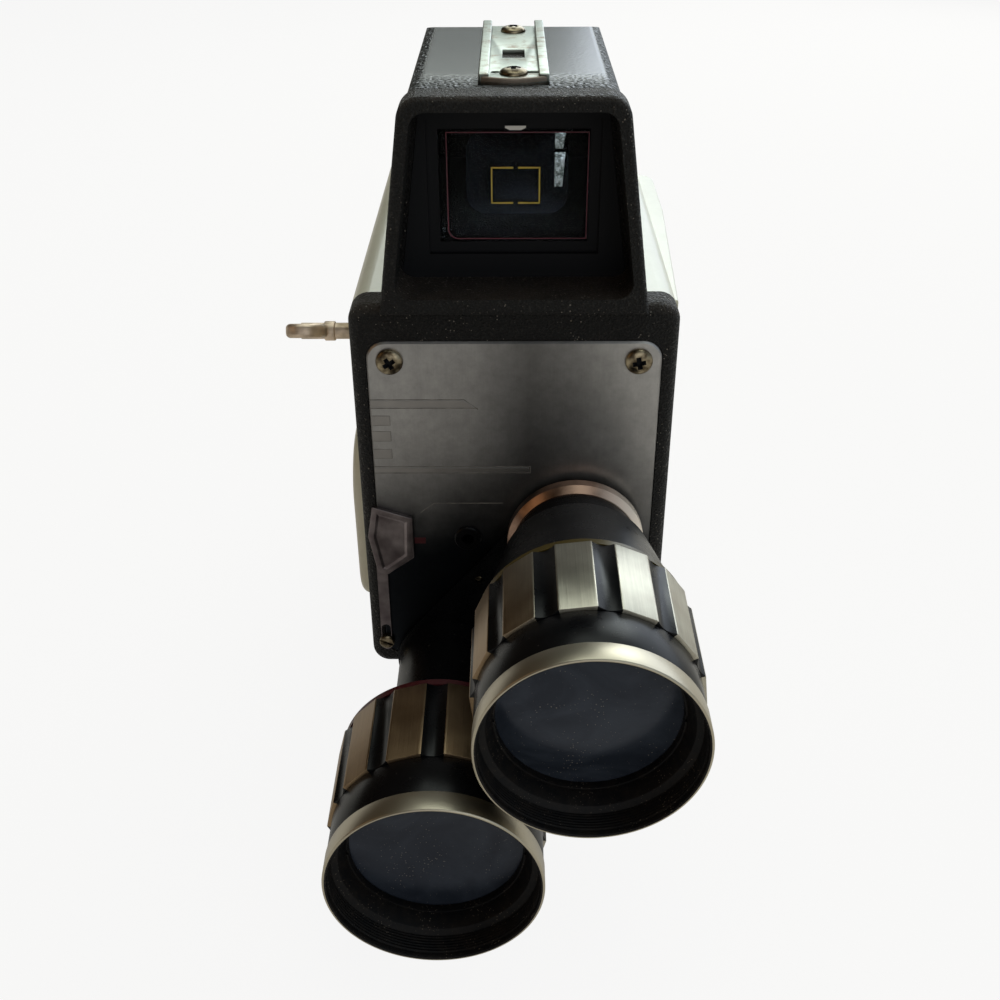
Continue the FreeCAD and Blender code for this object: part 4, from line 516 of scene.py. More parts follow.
def black_anodised():
    """Turned aluminium anodised black: satin, with fine tool rings round the lens and a few dust specks"""
    material, tree = new_material("black_anodised_aluminium")
    place = own_place(tree)
    bump = relief(tree, place, 0.25 * MM, 2.0, 0.35, 0.02 * MM, (0.02, 1.0, 0.02))[1]
    specks = add_node(tree, "TexVoronoi", {"Scale": 1 / (1.7 * MM)}, {"Vector": place})
    speck = add_node(tree, "Math", {"operation": "LESS_THAN", 1: 0.045}, {0: specks})
    colour = add_node(tree, "Mix", {"data_type": "RGBA", 6: opaque("09090b"), 7: opaque("6f6b64")}, {0: speck})
    rough = smears(tree, place, 6 * MM, 5.0, 0.16, 0.42)[1]
    add_shader(tree, {"Specular IOR Level": 0.2}, {"Base Color": colour, "Roughness": rough, "Normal": bump})
    return material


def cream_enamel():
    """Stoved cream enamel: even gloss with a slight orange peel, yellowed and grubby in soft patches"""
    material, tree = new_material("cream_stove_enamel")
    place = own_place(tree)
    bump = relief(tree, place, 1.8 * MM, 2.0, 0.2, 0.05 * MM)[1]
    grime, colour = patches(tree, place, {"Scale": 1 / (26 * MM), "Detail": 8.0, "Roughness": 0.65},
                            ("cfcbb7", colours().shell), (0.3, 0.6))
    rough = add_node(tree, "MapRange", {"To Min": 0.22, "To Max": 0.45}, {"Value": grime})
    add_shader(tree, {"Coat Weight": 0.2, "Coat Roughness": 0.15},
               {"Base Color": colour, "Roughness": rough, "Normal": bump})
    return material


def brushed_aluminium():
    """Rolled aluminium, fine upright satin grain, painted shade across its middle and foot, painted highlight at its
    right
    """
    material, tree = new_material("satin_aluminium_sheet")
    place = own_place(tree)
    strokes, bump = relief(tree, place, 0.22 * MM, 3.0, 0.15, 0.02 * MM, (1.0, 1.0, 0.03))
    clouds = add_node(tree, "TexNoise", {"Scale": 1 / (16 * MM), "Detail": 7.0}, {"Vector": place})
    parts = add_node(tree, "SeparateXYZ", {}, {0: place}).outputs
    uneven = add_node(tree, "Math", {"operation": "MULTIPLY_ADD", 1: 18 * MM}, {0: clouds, 2: parts["Z"]})
    # Painted shade across the plate's middle and a painted highlight near its right edge
    aside = add_node(tree, "MapRange", {"From Min": -PLATE_SIDE, "From Max": PLATE_SIDE}, {"Value": parts["X"]})
    painted_light_across = add_node(tree, "ValToRGB", {}, {"Fac": aside})
    for share, tone in PLATE_LIGHT_TONES:
        painted_light_across.color_ramp.elements.new(share).color = opaque(tone)
    for spare in (-1, 0):
        painted_light_across.color_ramp.elements.remove(painted_light_across.color_ramp.elements[spare])
    # Painted shade: the plate turns near black towards its foot, along a ragged line
    unshaded_share = add_node(tree, "MapRange", {"interpolation_type": "SMOOTHSTEP", "From Min": PLATE_SHADED,
                                        "From Max": PLATE_UNSHADED}, {"Value": uneven})
    colour = add_node(tree, "Mix", {"data_type": "RGBA", 6: opaque("24272b"), 7: opaque(colours().plate)}, {0: unshaded_share})
    grain = add_node(tree, "MapRange", {"To Min": 0.93, "To Max": 1.06}, {"Value": strokes})
    blots = add_node(tree, "TexNoise", {"Scale": 1 / (3 * MM), "Detail": 8.0, "Roughness": 0.7}, {"Vector": place})
    mottle = add_node(tree, "MapRange", {"From Min": 0.3, "From Max": 0.7, "To Min": 0.84, "To Max": 1.14},
                      {"Value": blots})
    for shade in (painted_light_across, mottle, grain):
        colour = add_node(tree, "VectorMath", {"operation": "MULTIPLY"}, {0: colour, 1: shade})
    rough = add_node(tree, "MapRange", {"To Min": 0.34, "To Max": 0.52}, {"Value": clouds})
    add_shader(tree, {"Metallic": 1.0}, {"Base Color": colour, "Roughness": rough, "Normal": bump})
    return material


def satin_aluminium():
    """Machined aluminium lands brushed lengthwise, with stray scratches, and painted shade that darkens and browns
    them to the left
    """
    material, tree = new_material("lacquered_aluminium")
    place = own_place(tree)
    strokes, bump = relief(tree, place, 0.3 * MM, 4.0, 0.6, 0.04 * MM, (1.0, 0.02, 1.0))
    smear, rough = smears(tree, place, 5 * MM, 6.0, 0.3, 0.46)
    colour = add_node(tree, "Mix", {"data_type": "RGBA", 6: opaque("a59d8f"), 7: opaque(colours().grip)}, {0: smear})
    grain = add_node(tree, "MapRange", {"To Min": 0.75, "To Max": 1.2}, {"Value": strokes})
    # Painted shade: the lands darken and turn browner towards the left
    aside = add_node(tree, "SeparateXYZ", {}, {0: place}).outputs["X"]
    clear = add_node(tree, "MapRange", {"interpolation_type": "SMOOTHSTEP", "From Min": LANDS_SHADED,
                                        "From Max": LANDS_LIT}, {"Value": aside})
    painted_shade_tint = add_node(tree, "Mix", {"data_type": "RGBA", 6: opaque("cbb29a"), 7: opaque("ffffff")}, {0: clear})
    for shade in (painted_shade_tint, grain):
        colour = add_node(tree, "VectorMath", {"operation": "MULTIPLY"}, {0: colour, 1: shade})
    add_shader(tree, {"Metallic": 1.0}, {"Base Color": colour, "Roughness": rough, "Normal": bump})
    return material


def turned_rim():
    """Front ring turned bright on the lathe: fine circular cuts that pull the highlight into a streak"""
    material, tree = new_material("turned_aluminium_rim")
    bump = relief(tree, own_place(tree), 0.12 * MM, 2.0, 0.5, 0.015 * MM, (0.02, 1.0, 0.02))[1]
    add_shader(tree, {"Base Color": opaque("b9b19e"), "Metallic": 1.0, "Roughness": 0.36}, {"Normal": bump})
    return material


def chrome_plate():
    """Chrome on steel, pitted and tea-coloured where the plating has let rust through"""
    material, tree = new_material("worn_chrome_plate")
    rust = add_node(tree, "TexNoise", {"Scale": 1 / (3.5 * MM), "Detail": 8.0, "Roughness": 0.7},
                    {"Vector": own_place(tree)})
    share = add_node(tree, "MapRange", {"From Min": 0.5, "From Max": 0.68}, {"Value": rust})
    colour = add_node(tree, "Mix", {"data_type": "RGBA", 6: opaque("9fa69d"), 7: opaque("6b553f")}, {0: share})
    rough = add_node(tree, "MapRange", {"To Min": 0.22, "To Max": 0.5}, {"Value": rust})
    bump = add_node(tree, "Bump", {"Strength": 0.3, "Distance": 0.03 * MM}, {"Height": share})
    add_shader(tree, {"Metallic": 1.0}, {"Base Color": colour, "Roughness": rough, "Normal": bump})
    return material


def nickel_steel():
    """Nickelled steel screws and levers, gone warm and dull with age"""
    material, tree = new_material("aged_nickel_plate")
    colour = patches(tree, own_place(tree), {"Scale": 1 / (1.6 * MM), "Detail": 6.0}, ("4a3f30", "a3967c"),
                     (0.35, 0.65))[1]
    add_shader(tree, {"Metallic": 1.0, "Roughness": 0.3}, {"Base Color": colour})
    return material


def copper_brass():
    """Coppered brass collar: warm metal with brown tarnish in broad patches, and a pale, less metallic painted
    highlight on its right
    """
    material, tree = new_material("tarnished_copper")
    place = own_place(tree)
    tarnish, colour = patches(tree, place, {"Scale": 1 / (7 * MM), "Detail": 7.0}, ("5f4a3e", colours().collar),
                              (0.35, 0.6))
    rough = add_node(tree, "MapRange", {"To Min": 0.2, "To Max": 0.4}, {"Value": tarnish})
    # Painted highlight: the collar turns pale and less metallic towards its right
    aside = add_node(tree, "SeparateXYZ", {}, {0: place}).outputs["X"]
    highlight_share = add_node(tree, "MapRange", {"From Min": COLLAR_HIGHLIGHT_START, "From Max": COLLAR_HIGHLIGHT_FULL}, {"Value": aside})
    wear_and_highlight = add_node(tree, "Mix", {"data_type": "RGBA", 7: opaque("fff0e0")}, {0: highlight_share, 6: colour})
    metal = add_node(tree, "MapRange", {"To Min": 1.0, "To Max": 0.25}, {"Value": highlight_share})
    add_shader(tree, {}, {"Base Color": wear_and_highlight, "Roughness": rough, "Metallic": metal})
    return material


def tarnished_metal(name, metallic, width, detail, tones, ends, low, high):
    """A metal whose colour and roughness wander together in patches about so wide"""
    material, tree = new_material(name)
    patch, colour = patches(tree, own_place(tree), {"Scale": 1 / width, "Detail": detail}, tones, ends)
    rough = add_node(tree, "MapRange", {"To Min": low, "To Max": high}, {"Value": patch})
    add_shader(tree, {"Metallic": metallic}, {"Base Color": colour, "Roughness": rough})
    return material


def plain_brass():
    """Stamped clock brass, its colour and gloss wandering together in patches"""
    return tarnished_metal("clock_brass", 1.0, 5 * MM, 6.0, ("8a6a34", "c9a45c"), (0.3, 0.7), 0.22, 0.42)


def key_metal():
    """Cast key metal with a brown oxide skin, paler in patches"""
    return tarnished_metal("tarnished_key_metal", 0.8, 5 * MM, 7.0, ("98866f", colours().key), (0.35, 0.62), 0.3,
                           0.55)


def tab_metal():
    """Nickelled pressing of the release tab, dulled to a rosy grey in patches"""
    return tarnished_metal("dulled_nickel_pressing", 1.0, 4 * MM, 7.0, ("5e5556", "8d8484"), (0.3, 0.7), 0.28, 0.5)


def ring_enamel(name, colour):
    material, tree = new_material(name)
    chips, bump = relief(tree, own_place(tree), 1.2 * MM, 5.0, 0.3, 0.02 * MM)
    rough = add_node(tree, "MapRange", {"To Min": 0.25, "To Max": 0.5}, {"Value": chips})
    add_shader(tree, {"Base Color": opaque(colour)}, {"Roughness": rough, "Normal": bump})
    return material


def yellow_enamel():
    """Yellow signal enamel run into the ring of the long lens"""
    return ring_enamel("yellow_ring_enamel", colours().yellow)


def red_enamel():
    """Red signal enamel run into the ring of the wide lens, and the printed marks of the same paint"""
    return ring_enamel("red_ring_enamel", colours().red)


def leatherette():
    """Vinyl leathercloth: raised glossy pebbles parted by fine matt creases, worn smooth on its level top"""
    material, tree = new_material("grained_leathercloth")
    grain = sizes().leather
    place = own_place(tree)
    warp = add_node(tree, "TexNoise", {"Scale": 1 / (2 * grain), "Detail": 3.0}, {"Vector": place})
    bent = add_node(tree, "MixRGB", {"blend_type": "ADD", "Fac": 0.0004},
                    {"Color1": place, "Color2": warp.outputs["Color"]})
    pebbles = add_node(tree, "TexVoronoi", {"feature": "DISTANCE_TO_EDGE", "Scale": 1 / grain}, {"Vector": bent})
    crease = add_node(tree, "MapRange", {"interpolation_type": "SMOOTHSTEP", "From Max": 0.4}, {"Value": pebbles})
    fine = add_node(tree, "TexNoise", {"Scale": 1 / (0.25 * grain), "Detail": 3.0}, {"Vector": place})
    height = add_node(tree, "Math", {"operation": "MULTIPLY_ADD", 1: 0.15}, {0: fine, 2: crease})
    run = add_node(tree, "SeparateXYZ", {}, {0: place}).outputs["Y"]
    behind = add_node(tree, "MapRange", {"interpolation_type": "SMOOTHSTEP", "From Min": FINDER_FRONT,
                                         "From Max": LEATHER_WORN}, {"Value": run})
    wear_and_highlight = add_node(tree, "Math", {"operation": "MULTIPLY"}, {0: behind, 1: up_dust(tree, 0.94, 0.99)})
    fresh = add_node(tree, "MapRange", {"To Min": 1.0, "To Max": 0.015}, {"Value": wear_and_highlight})
    bump = add_node(tree, "Bump", {"Distance": 0.5 * grain}, {"Height": height, "Strength": fresh})
    evened = add_node(tree, "Math", {"operation": "MAXIMUM"}, {0: crease, 1: wear_and_highlight})
    rough = add_node(tree, "MapRange", {"To Min": 0.65, "To Max": 0.22}, {"Value": evened})
    add_shader(tree, {"Base Color": opaque(colours().leather), "Specular IOR Level": 0.52},
               {"Roughness": rough, "Normal": bump})
    return material


def lens_glass():
    """Coated lens glass over a black barrel: dark slate, with a breath of haze and dust on its face"""
    material, tree = new_material("coated_lens_glass")
    place = own_place(tree)
    haze, colour = patches(tree, place, {"Scale": 1 / (16 * MM), "Detail": 5.0, "Distortion": 1.6},
                           ("262b34", "3d434d"), (0.4, 0.75))
    dusty = add_node(tree, "Mix", {"data_type": "RGBA", 7: opaque("75716c")},
                     {0: dust(tree, place, 0.7 * MM, 0.19), 6: colour})
    rough = add_node(tree, "MapRange", {"To Min": 0.1, "To Max": 0.26}, {"Value": haze})
    add_shader(tree, {"IOR": 1.52, "Specular IOR Level": 0.3, "Specular Tint": opaque("d8def2")},
               {"Base Color": dusty, "Roughness": rough})
    return material


def finder_glass():
    """Bloomed window glass: clear, its coating kills nearly all of the shine"""
    material, tree = new_material("finder_window_glass")
    add_shader(tree, {"Base Color": opaque("e4eaf0"), "Roughness": 0.0, "IOR": 1.08, "Transmission Weight": 1.0})
    return material


def dark_lens():
    """Bloomed glass with the dark of the finder behind it: almost black, bluish, with specks of dust"""
    material, tree = new_material("finder_lens_glass")
    colour = add_node(tree, "Mix", {"data_type": "RGBA", 6: opaque("05070c"), 7: opaque("6d6f72")},
                      {0: dust(tree, own_place(tree), 1.6 * MM, 0.08)})
    add_shader(tree, {"IOR": 1.5, "Specular IOR Level": 0.12, "Roughness": 0.08}, {"Base Color": colour})
    return material


def silvered_leaf():
    """Silver-plated spring leaf, tarnished grey-green in blots between its polished parts"""
    material, tree = new_material("silvered_spring_leaf")
    place = own_place(tree)
    waves, bump = relief(tree, place, 2 * MM, 3.0, 0.7, 0.3 * MM)
    rough = add_node(tree, "MapRange", {"To Min": 0.08, "To Max": 0.3}, {"Value": waves})
    blots = add_node(tree, "TexNoise", {"Scale": 1 / (0.9 * MM), "Detail": 5.0, "Roughness": 0.7}, {"Vector": place})
    share = add_node(tree, "MapRange", {"From Min": 0.42, "From Max": 0.58}, {"Value": blots})
    colour = add_node(tree, "Mix", {"data_type": "RGBA", 6: opaque("8e9182"), 7: opaque("fff8ea")}, {0: share})
    add_shader(tree, {"Metallic": 0.85}, {"Base Color": colour, "Roughness": rough, "Normal": bump})
    return material


def mixed_metal(name, width, detail, tones, metallic, roughness):
    """A metal of even roughness whose colour drifts between two tones"""
    material, tree = new_material(name)
    drift = add_node(tree, "TexNoise", {"Scale": 1 / width, "Detail": detail}, {"Vector": own_place(tree)})
    colour = add_node(tree, "Mix", {"data_type": "RGBA", 6: opaque(tones[0]), 7: opaque(tones[1])}, {0: drift})
    add_shader(tree, {"Metallic": metallic, "Roughness": roughness}, {"Base Color": colour})
    return material


def dusty_brass():
    """Front lip of the channel, its chrome rubbed through to dusty brown brass"""
    return mixed_metal("rubbed_through_brass", 2 * MM, 6.0, ("6a5c4e", "a2968a"), 0.5, 0.5)


def raised_bar():
    """Raised bars coined in the face plate, rubbed brighter than the sheet round them"""
    return mixed_metal("rubbed_aluminium_bar", 5 * MM, 5.0, ("827f7d", "a09d9a"), 1.0, 0.38)


def dusty_black():
    """Flat black inside of the lens mounts, with the dust that has fallen in"""
    material, tree = new_material("dusty_black_paint")
    place = own_place(tree)
    haze = add_node(tree, "TexNoise", {"Scale": 1 / (2.5 * MM), "Detail": 7.0, "Roughness": 0.7}, {"Vector": place})
    film = add_node(tree, "MapRange", {"From Min": 0.42, "From Max": 0.75}, {"Value": haze})
    skin = add_node(tree, "Mix", {"data_type": "RGBA", 6: opaque("08080a"), 7: opaque("1f1a16")}, {0: film})
    colour = add_node(tree, "Mix", {"data_type": "RGBA", 7: opaque("5c544b")},
                      {0: dust(tree, place, 0.55 * MM, 0.24), 6: skin})
    add_shader(tree, {"Specular IOR Level": 0.2, "Roughness": 0.55}, {"Base Color": colour})
    return material


def flat_print(name, width, detail, tones, ends=(0.0, 1.0), roughness=0.5):
    """Thin paint or ink, a little uneven where it has worn"""
    material, tree = new_material(name)
    colour = patches(tree, own_place(tree), {"Scale": 1 / width, "Detail": detail}, tones, ends)[1]
    add_shader(tree, {"Roughness": roughness}, {"Base Color": colour})
    return material


def printed_red():
    """Thin crimson screen print on glass"""
    return flat_print("crimson_print", 3 * MM, 5.0, ("3a0d1a", "6e1a30"))


def printed_yellow():
    """Mustard screen print on glass"""
    return flat_print("mustard_print", 2 * MM, 5.0, ("a8851c", "d4ae34"))


def dial_white():
    """Off-white printing paint of the footage dial and the finder's notch mark"""
    return flat_print("dial_paint", 5 * MM, 4.0, ("ddd8d2", "f4f1ee"))


def engraving_fill():
    """Dark wax rubbed into the engraved lines of the face plate"""
    return flat_print("engraving_wax", 2.5 * MM, 5.0, ("57534f", "8a847d"), (0.35, 0.7), 0.55)


def soft_rubber():
    """Moulded natural rubber, matt and slightly bloomed"""
    material, tree = new_material("bloomed_rubber")
    place = own_place(tree)
    colour = patches(tree, place, {"Scale": 1 / (6 * MM), "Detail": 6.0}, ("111112", "2b2a29"))[1]
    bump = relief(tree, place, 0.4 * MM, 2.0, 0.25, 0.03 * MM)[1]
    add_shader(tree, {"Roughness": 0.7}, {"Base Color": colour, "Normal": bump})
    return material


def spool_metal():
    """Spun aluminium spools, dulled to pale grey in smears"""
    material, tree = new_material("spun_aluminium")
    rough = smears(tree, own_place(tree), 4 * MM, 5.0, 0.3, 0.5)[1]
    add_shader(tree, {"Base Color": opaque("b4b6b8"), "Metallic": 1.0}, {"Roughness": rough})
    return material


FINISHES = [
    crinkle_black, matte_black, black_enamel, black_anodised, cream_enamel, brushed_aluminium,
    satin_aluminium, chrome_plate, nickel_steel, copper_brass, plain_brass, key_metal, yellow_enamel,
    red_enamel, leatherette, lens_glass, finder_glass, dark_lens, dusty_black, tab_metal, printed_red,
    printed_yellow, soft_rubber, spool_metal, dial_white, turned_rim, engraving_fill, silvered_leaf,
    dusty_brass, raised_bar,
]
made = {}


def finish_named(name):
    return made[name]


# Modelling

def deselect_all():
    """Clears the selection and goes back to picking points, which every new outline starts from"""
    bpy.ops.object.select_all(action="DESELECT")
    bpy.context.tool_settings.mesh_select_mode = (True, False, False)


def placed(name):
    """Names the new primitive and settles its place into its mesh"""
    piece = bpy.context.active_object
    piece.name = name
    piece.data.name = name
    bpy.ops.object.transform_apply(location=True, rotation=True, scale=True)
    return piece


def moved(piece, matrix):
    """Carries the piece to its place and settles that into its mesh"""
    piece.matrix_world = matrix
    bpy.ops.object.transform_apply(location=True, rotation=True, scale=True)
    return piece


def open_mesh():
    """Edits the active piece with all of it chosen"""
    bpy.ops.object.mode_set(mode="EDIT")
    bpy.ops.mesh.select_all(action="SELECT")


def close_mesh():
    bpy.ops.object.mode_set(mode="OBJECT")


def squeeze(scale, centre):
    """Resizes all of the active piece about a point"""
    open_mesh()
    bpy.ops.transform.resize(value=scale, center_override=centre)
    close_mesh()


def choose(piece, kind, test):
    """Leaves the piece in edit mode with only the faces, edges or points chosen whose middle passes the test"""
    bpy.ops.object.mode_set(mode="EDIT")
    bpy.ops.mesh.select_mode(type=kind)
    bpy.ops.mesh.select_all(action="DESELECT")
    bpy.ops.object.mode_set(mode="OBJECT")
    mesh = piece.data
    if kind == "FACE":
        for face in mesh.polygons:
            face.select = test(face.center, face.normal)
    elif kind == "EDGE":
        for edge in mesh.edges:
            ends = [mesh.vertices[i].co for i in edge.vertices]
            edge.select = test((ends[0] + ends[1]) / 2, (ends[1] - ends[0]).normalized())
    else:
        for vertex in mesh.vertices:
            vertex.select = test(vertex.co)
    bpy.ops.object.mode_set(mode="EDIT")


def weld():
    """Merges what lies together in the active piece and turns its faces outwards"""
    open_mesh()
    bpy.ops.mesh.remove_doubles(threshold=WELD)
    bpy.ops.mesh.normals_make_consistent(inside=False)
    close_mesh()


def ease_edges(piece, width, segments=2, angle=40):
    """Rounds every edge sharper than the angle, as a file or a tumbling barrel does"""
    bpy.ops.object.modifier_add(type="BEVEL")
    bevel = piece.modifiers[-1]
    bevel.width = width
    bevel.segments = segments
    bevel.limit_method = "ANGLE"
    bevel.angle_limit = math.radians(angle)
    bpy.ops.object.modifier_apply(modifier=bevel.name)


def smooth(angle=32):
    bpy.ops.object.shade_smooth_by_angle(angle=math.radians(angle))


def cut_away(piece, cutter):
    """Takes the cutter's shape out of the piece and throws the cutter away"""
    bpy.context.view_layer.objects.active = piece
    bpy.ops.object.modifier_add(type="BOOLEAN")
    hole = piece.modifiers[-1]
    hole.operation = "DIFFERENCE"
    hole.solver = "EXACT"
    hole.object = cutter
    bpy.ops.object.modifier_apply(modifier=hole.name)
    bpy.data.objects.remove(cutter)
    deselect_all()
    piece.select_set(True)


def cut_block(piece, place, size, turn=0):
    """Takes a block out of the piece, turned about Y"""
    deselect_all()
    bpy.ops.mesh.primitive_cube_add(size=1, location=place, scale=size, rotation=(0, math.radians(turn), 0))
    cut_away(piece, placed("block"))


def paint(piece, ground, other=None, test=None):
    """Gives the piece its finish, and another one to the faces whose middle and direction pass the test"""
    piece.data.materials.append(finish_named(ground))
    if other:
        piece.data.materials.append(finish_named(other))
        for face in piece.data.polygons:
            face.material_index = int(test(face.center, face.normal))


def settle(piece, body, slot, *nodes, finish=None):
    """Gives a piece its finish, the body it rides on and the nodes that it stands for"""
    if not piece.data.materials:
        paint(piece, finish or slot)
    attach(piece, body)
    if nodes:
        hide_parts(*nodes)
    return piece


def turned(name, profile, x, z, sides=ROUND_SIDES):
    """A piece turned about a line along Y: profile holds (y, radius) round its section"""
    deselect_all()
    y, radius = profile[0]
    radius = max(radius, POLE)
    bpy.ops.mesh.primitive_circle_add(vertices=sides, radius=radius, location=(x, y, z),
                                      rotation=(math.pi / 2, 0, 0))
    piece = placed(name)
    open_mesh()
    for next_y, next_radius in profile[1:]:
        next_radius = max(next_radius, POLE)
        scale = next_radius / radius
        bpy.ops.mesh.extrude_region()
        bpy.ops.transform.translate(value=(0, next_y - y, 0))
        bpy.ops.transform.resize(value=(scale, 1, scale), center_override=(x, next_y, z))
        y, radius = next_y, next_radius
    close_mesh()
    weld()
    return piece


def drawn_line(name, points, width, closed=False):
    """A round line that runs through the points, as wire does"""
    deselect_all()
    bpy.ops.mesh.primitive_plane_add(size=width, location=points[0])
    piece = placed(name)
    open_mesh()
    bpy.ops.mesh.merge(type="CENTER")
    for start, end in zip(points, points[1:]):
        bpy.ops.mesh.extrude_vertices_move(TRANSFORM_OT_translate={"value": Vector(end) - Vector(start)})
    bpy.ops.mesh.select_all(action="SELECT")
    bpy.ops.mesh.remove_doubles(threshold=WELD)
    close_mesh()
    deselect_all()
    piece.select_set(True)
    bpy.context.view_layer.objects.active = piece
    bpy.ops.object.convert(target="CURVE")
    piece = bpy.context.active_object
    piece.data.bevel_depth = width / 2
    piece.data.bevel_resolution = 1
    piece.data.use_fill_caps = not closed
    bpy.ops.object.convert(target="MESH")
    return bpy.context.active_object


def printed_line(name, points, width, thickness, closed=False):
    """A line through (x, y, z) points of one plane across Y, pressed flat against it"""
    piece = drawn_line(name, points, width, closed)
    squeeze((1, thickness / width, 1), (0, points[0][1], 0))
    return piece


def joined(name, pieces):
    deselect_all()
    for piece in pieces:
        piece.select_set(True)
    bpy.context.view_layer.objects.active = pieces[0]
    bpy.ops.object.join()
    pieces[0].name = name
    pieces[0].data.name = name
    return pieces[0]


def ahead(distance):
    return PLATE_Y - distance


def middle_of(node):
    """Middle of the box round a part of the frame, as x, y and z"""
    return [(low + high) / 2 for low, high in zip(*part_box(node))]


def lens_axis(lens):
    x, _, z = middle_of(lens + "_front_ring")
    return x, z


def in_metres(points):
    return [tuple(value * MM for value in point) for point in points]


def polygon_slab(name, points, start, depth, flat=False):
    """A plate with an outline through (x, z) points, or (x, y) when flat, that runs on from start by depth"""
    deselect_all()
    bpy.ops.mesh.primitive_circle_add(vertices=len(points), radius=1.0, fill_type="NGON")
    piece = placed(name)
    for vertex, (x, other) in zip(piece.data.vertices, points):
        vertex.co = (x, other, start) if flat else (x, start, other)
    open_mesh()
    move = (0, 0, depth) if flat else (0, depth, 0)
    bpy.ops.mesh.extrude_region_move(TRANSFORM_OT_translate={"value": move})
    bpy.ops.mesh.select_all(action="SELECT")
    bpy.ops.mesh.normals_make_consistent(inside=False)
    close_mesh()
    return piece


def rounded_outline(half_x, half_z, radius, x=0.0, z=0.0, steps=6):
    """Points round a rectangle with round corners, as (x, z)"""
    points = []
    for corner, (sx, sz) in enumerate(((1, 1), (-1, 1), (-1, -1), (1, -1))):
        for step in range(steps + 1):
            angle = math.radians(90 * (corner + step / steps))
            points.append((x + sx * (half_x - radius) + radius * math.cos(angle),
                           z + sz * (half_z - radius) + radius * math.sin(angle)))
    return points


def copy_of(name):
    """A merged copy of a part of the frame"""
    deselect_all()
    source = frame["nodes"][name]
    piece = source.copy()
    piece.data = source.data.copy()
    piece.name = name + "_finished"
    bpy.context.collection.objects.link(piece)
    bpy.context.view_layer.objects.active = piece
    piece.select_set(True)
    open_mesh()
    bpy.ops.mesh.remove_doubles(threshold=COPY_WELD)
    bpy.ops.mesh.dissolve_limited(angle_limit=math.radians(LEVEL_ANGLE))
    close_mesh()
    return piece


def solids_of(name):
    """Lowest and highest corner of each separate solid in a part of the frame"""
    copy_of(name)
    bpy.ops.object.mode_set(mode="EDIT")
    bpy.ops.mesh.separate(type="LOOSE")
    close_mesh()
    boxes = []
    for loose in list(bpy.context.selected_objects):
        corners = [vertex.co for vertex in loose.data.vertices]
        boxes.append((Vector([min(c[i] for c in corners) for i in range(3)]),
                      Vector([max(c[i] for c in corners) for i in range(3)])))
        bpy.data.objects.remove(loose)
    return sorted(boxes, key=lambda box: tuple(box[0]))


# Pieces

def dress_nodes():
    """Puts a finish on each part of the frame: that of its slot, or the one that these few really have"""
    for part in frame["record"]["subparts"]:
        node = frame["nodes"][part["node"]]
        node.data.materials.clear()
        node.data.materials.append(finish_named(part["material_slot"]))
    for node, finish in (("finder_housing", "crinkle_black"), ("release_tab", "tab_metal"),
                         ("release_socket", "black_anodised")):
        frame["nodes"][node].material_slots[0].material = finish_named(finish)


def in_recess(place, direction):
    """True for the faces of the cross recess below its bright lip"""
    radius = math.hypot(place.x, place.z)
    if radius >= RECESS_SPAN / 2 or place.y >= SCREW_HEAD:
        return False
    return place.y > SCREW_DOME * (1 - math.sqrt(1 - (radius / SCREW_RADIUS) ** 2)) + RECESS_SHADE


def cross_screw():
    """One pan-head screw that faces -Y with the top of its head at the origin, and its cross recess"""
    half_round = [(SCREW_DOME * (1 - math.cos(math.radians(a))), SCREW_RADIUS * math.sin(math.radians(a)))
                  for a in range(0, 91, DOME_STEP)]
    profile = half_round + [(SCREW_HEAD, SCREW_RADIUS), (SCREW_HEAD, SHANK_RADIUS), (SCREW_END, SHANK_RADIUS),
                            (SCREW_END, 0.0)]
    piece = turned("cross_screw", profile, 0.0, 0.0, SCREW_SIDES)
    for turn in (0, 90):
        deselect_all()
        bpy.ops.mesh.primitive_cube_add(size=1, scale=(RECESS_SPAN, 2 * RECESS_DEPTH, RECESS_WIDTH))
        cutter = placed("recess")
        choose(cutter, "FACE", lambda place, normal: normal.y > SQUARE)
        bpy.ops.transform.resize(value=RECESS_TAPER)
        close_mesh()
        cut_away(piece, moved(cutter, Matrix.Rotation(math.radians(turn), 4, "Y")))
    ease_edges(piece, SCREW_EASE)
    smooth(40)
    paint(piece, "nickel_steel", "matte_black", in_recess)
    return piece


def screws():
    """Copies the screw to each place that the frame holds one: face plate, finder channel and side cover"""
    first = cross_screw()
    pieces = []
    for index, (low, high) in enumerate(solids_of("pan_screws")):
        middle = (low + high) / 2
        if low.y < PLATE_Y:
            place, facing = Vector((middle.x, low.y, middle.z)), Matrix.Identity(4)
        elif middle.z > BODY_TOP:
            place, facing = Vector((middle.x, middle.y, high.z)), Matrix.Rotation(math.radians(-90), 4, "X")
        else:
            place, facing = Vector((low.x, middle.y, middle.z)), Matrix.Rotation(math.radians(-90), 4, "Z")
        deselect_all()
        first.select_set(True)
        bpy.context.view_layer.objects.active = first
        bpy.ops.object.duplicate(linked=False)
        spin = Matrix.Rotation(math.radians(SCREW_SPIN * index), 4, "Y")
        pieces.append(moved(bpy.context.active_object, Matrix.Translation(place) @ facing @ spin))
    bpy.data.objects.remove(first)
    settle(joined("screws", pieces), "root", "nickel_steel", "pan_screws")


def bracket_corners():
    """Corners of the three short bars at the plate's left edge"""
    return [[(PLATE_LEFT, high), (BRACKET_RIGHT, high), (BRACKET_RIGHT, low), (PLATE_LEFT, low)]
            for high, low in BRACKET_ROWS]


def plate_lines():
    pieces = []
    for line in PLATE_LINES + bracket_corners():
        points = [(x, PLATE_Y, z) for x, z in in_metres(line)]
        pieces.append(printed_line("plate_line", points, sizes().line, 2 * HAIR))
    settle(joined("plate_lines", pieces), "root", "black_enamel", finish="engraving_fill")


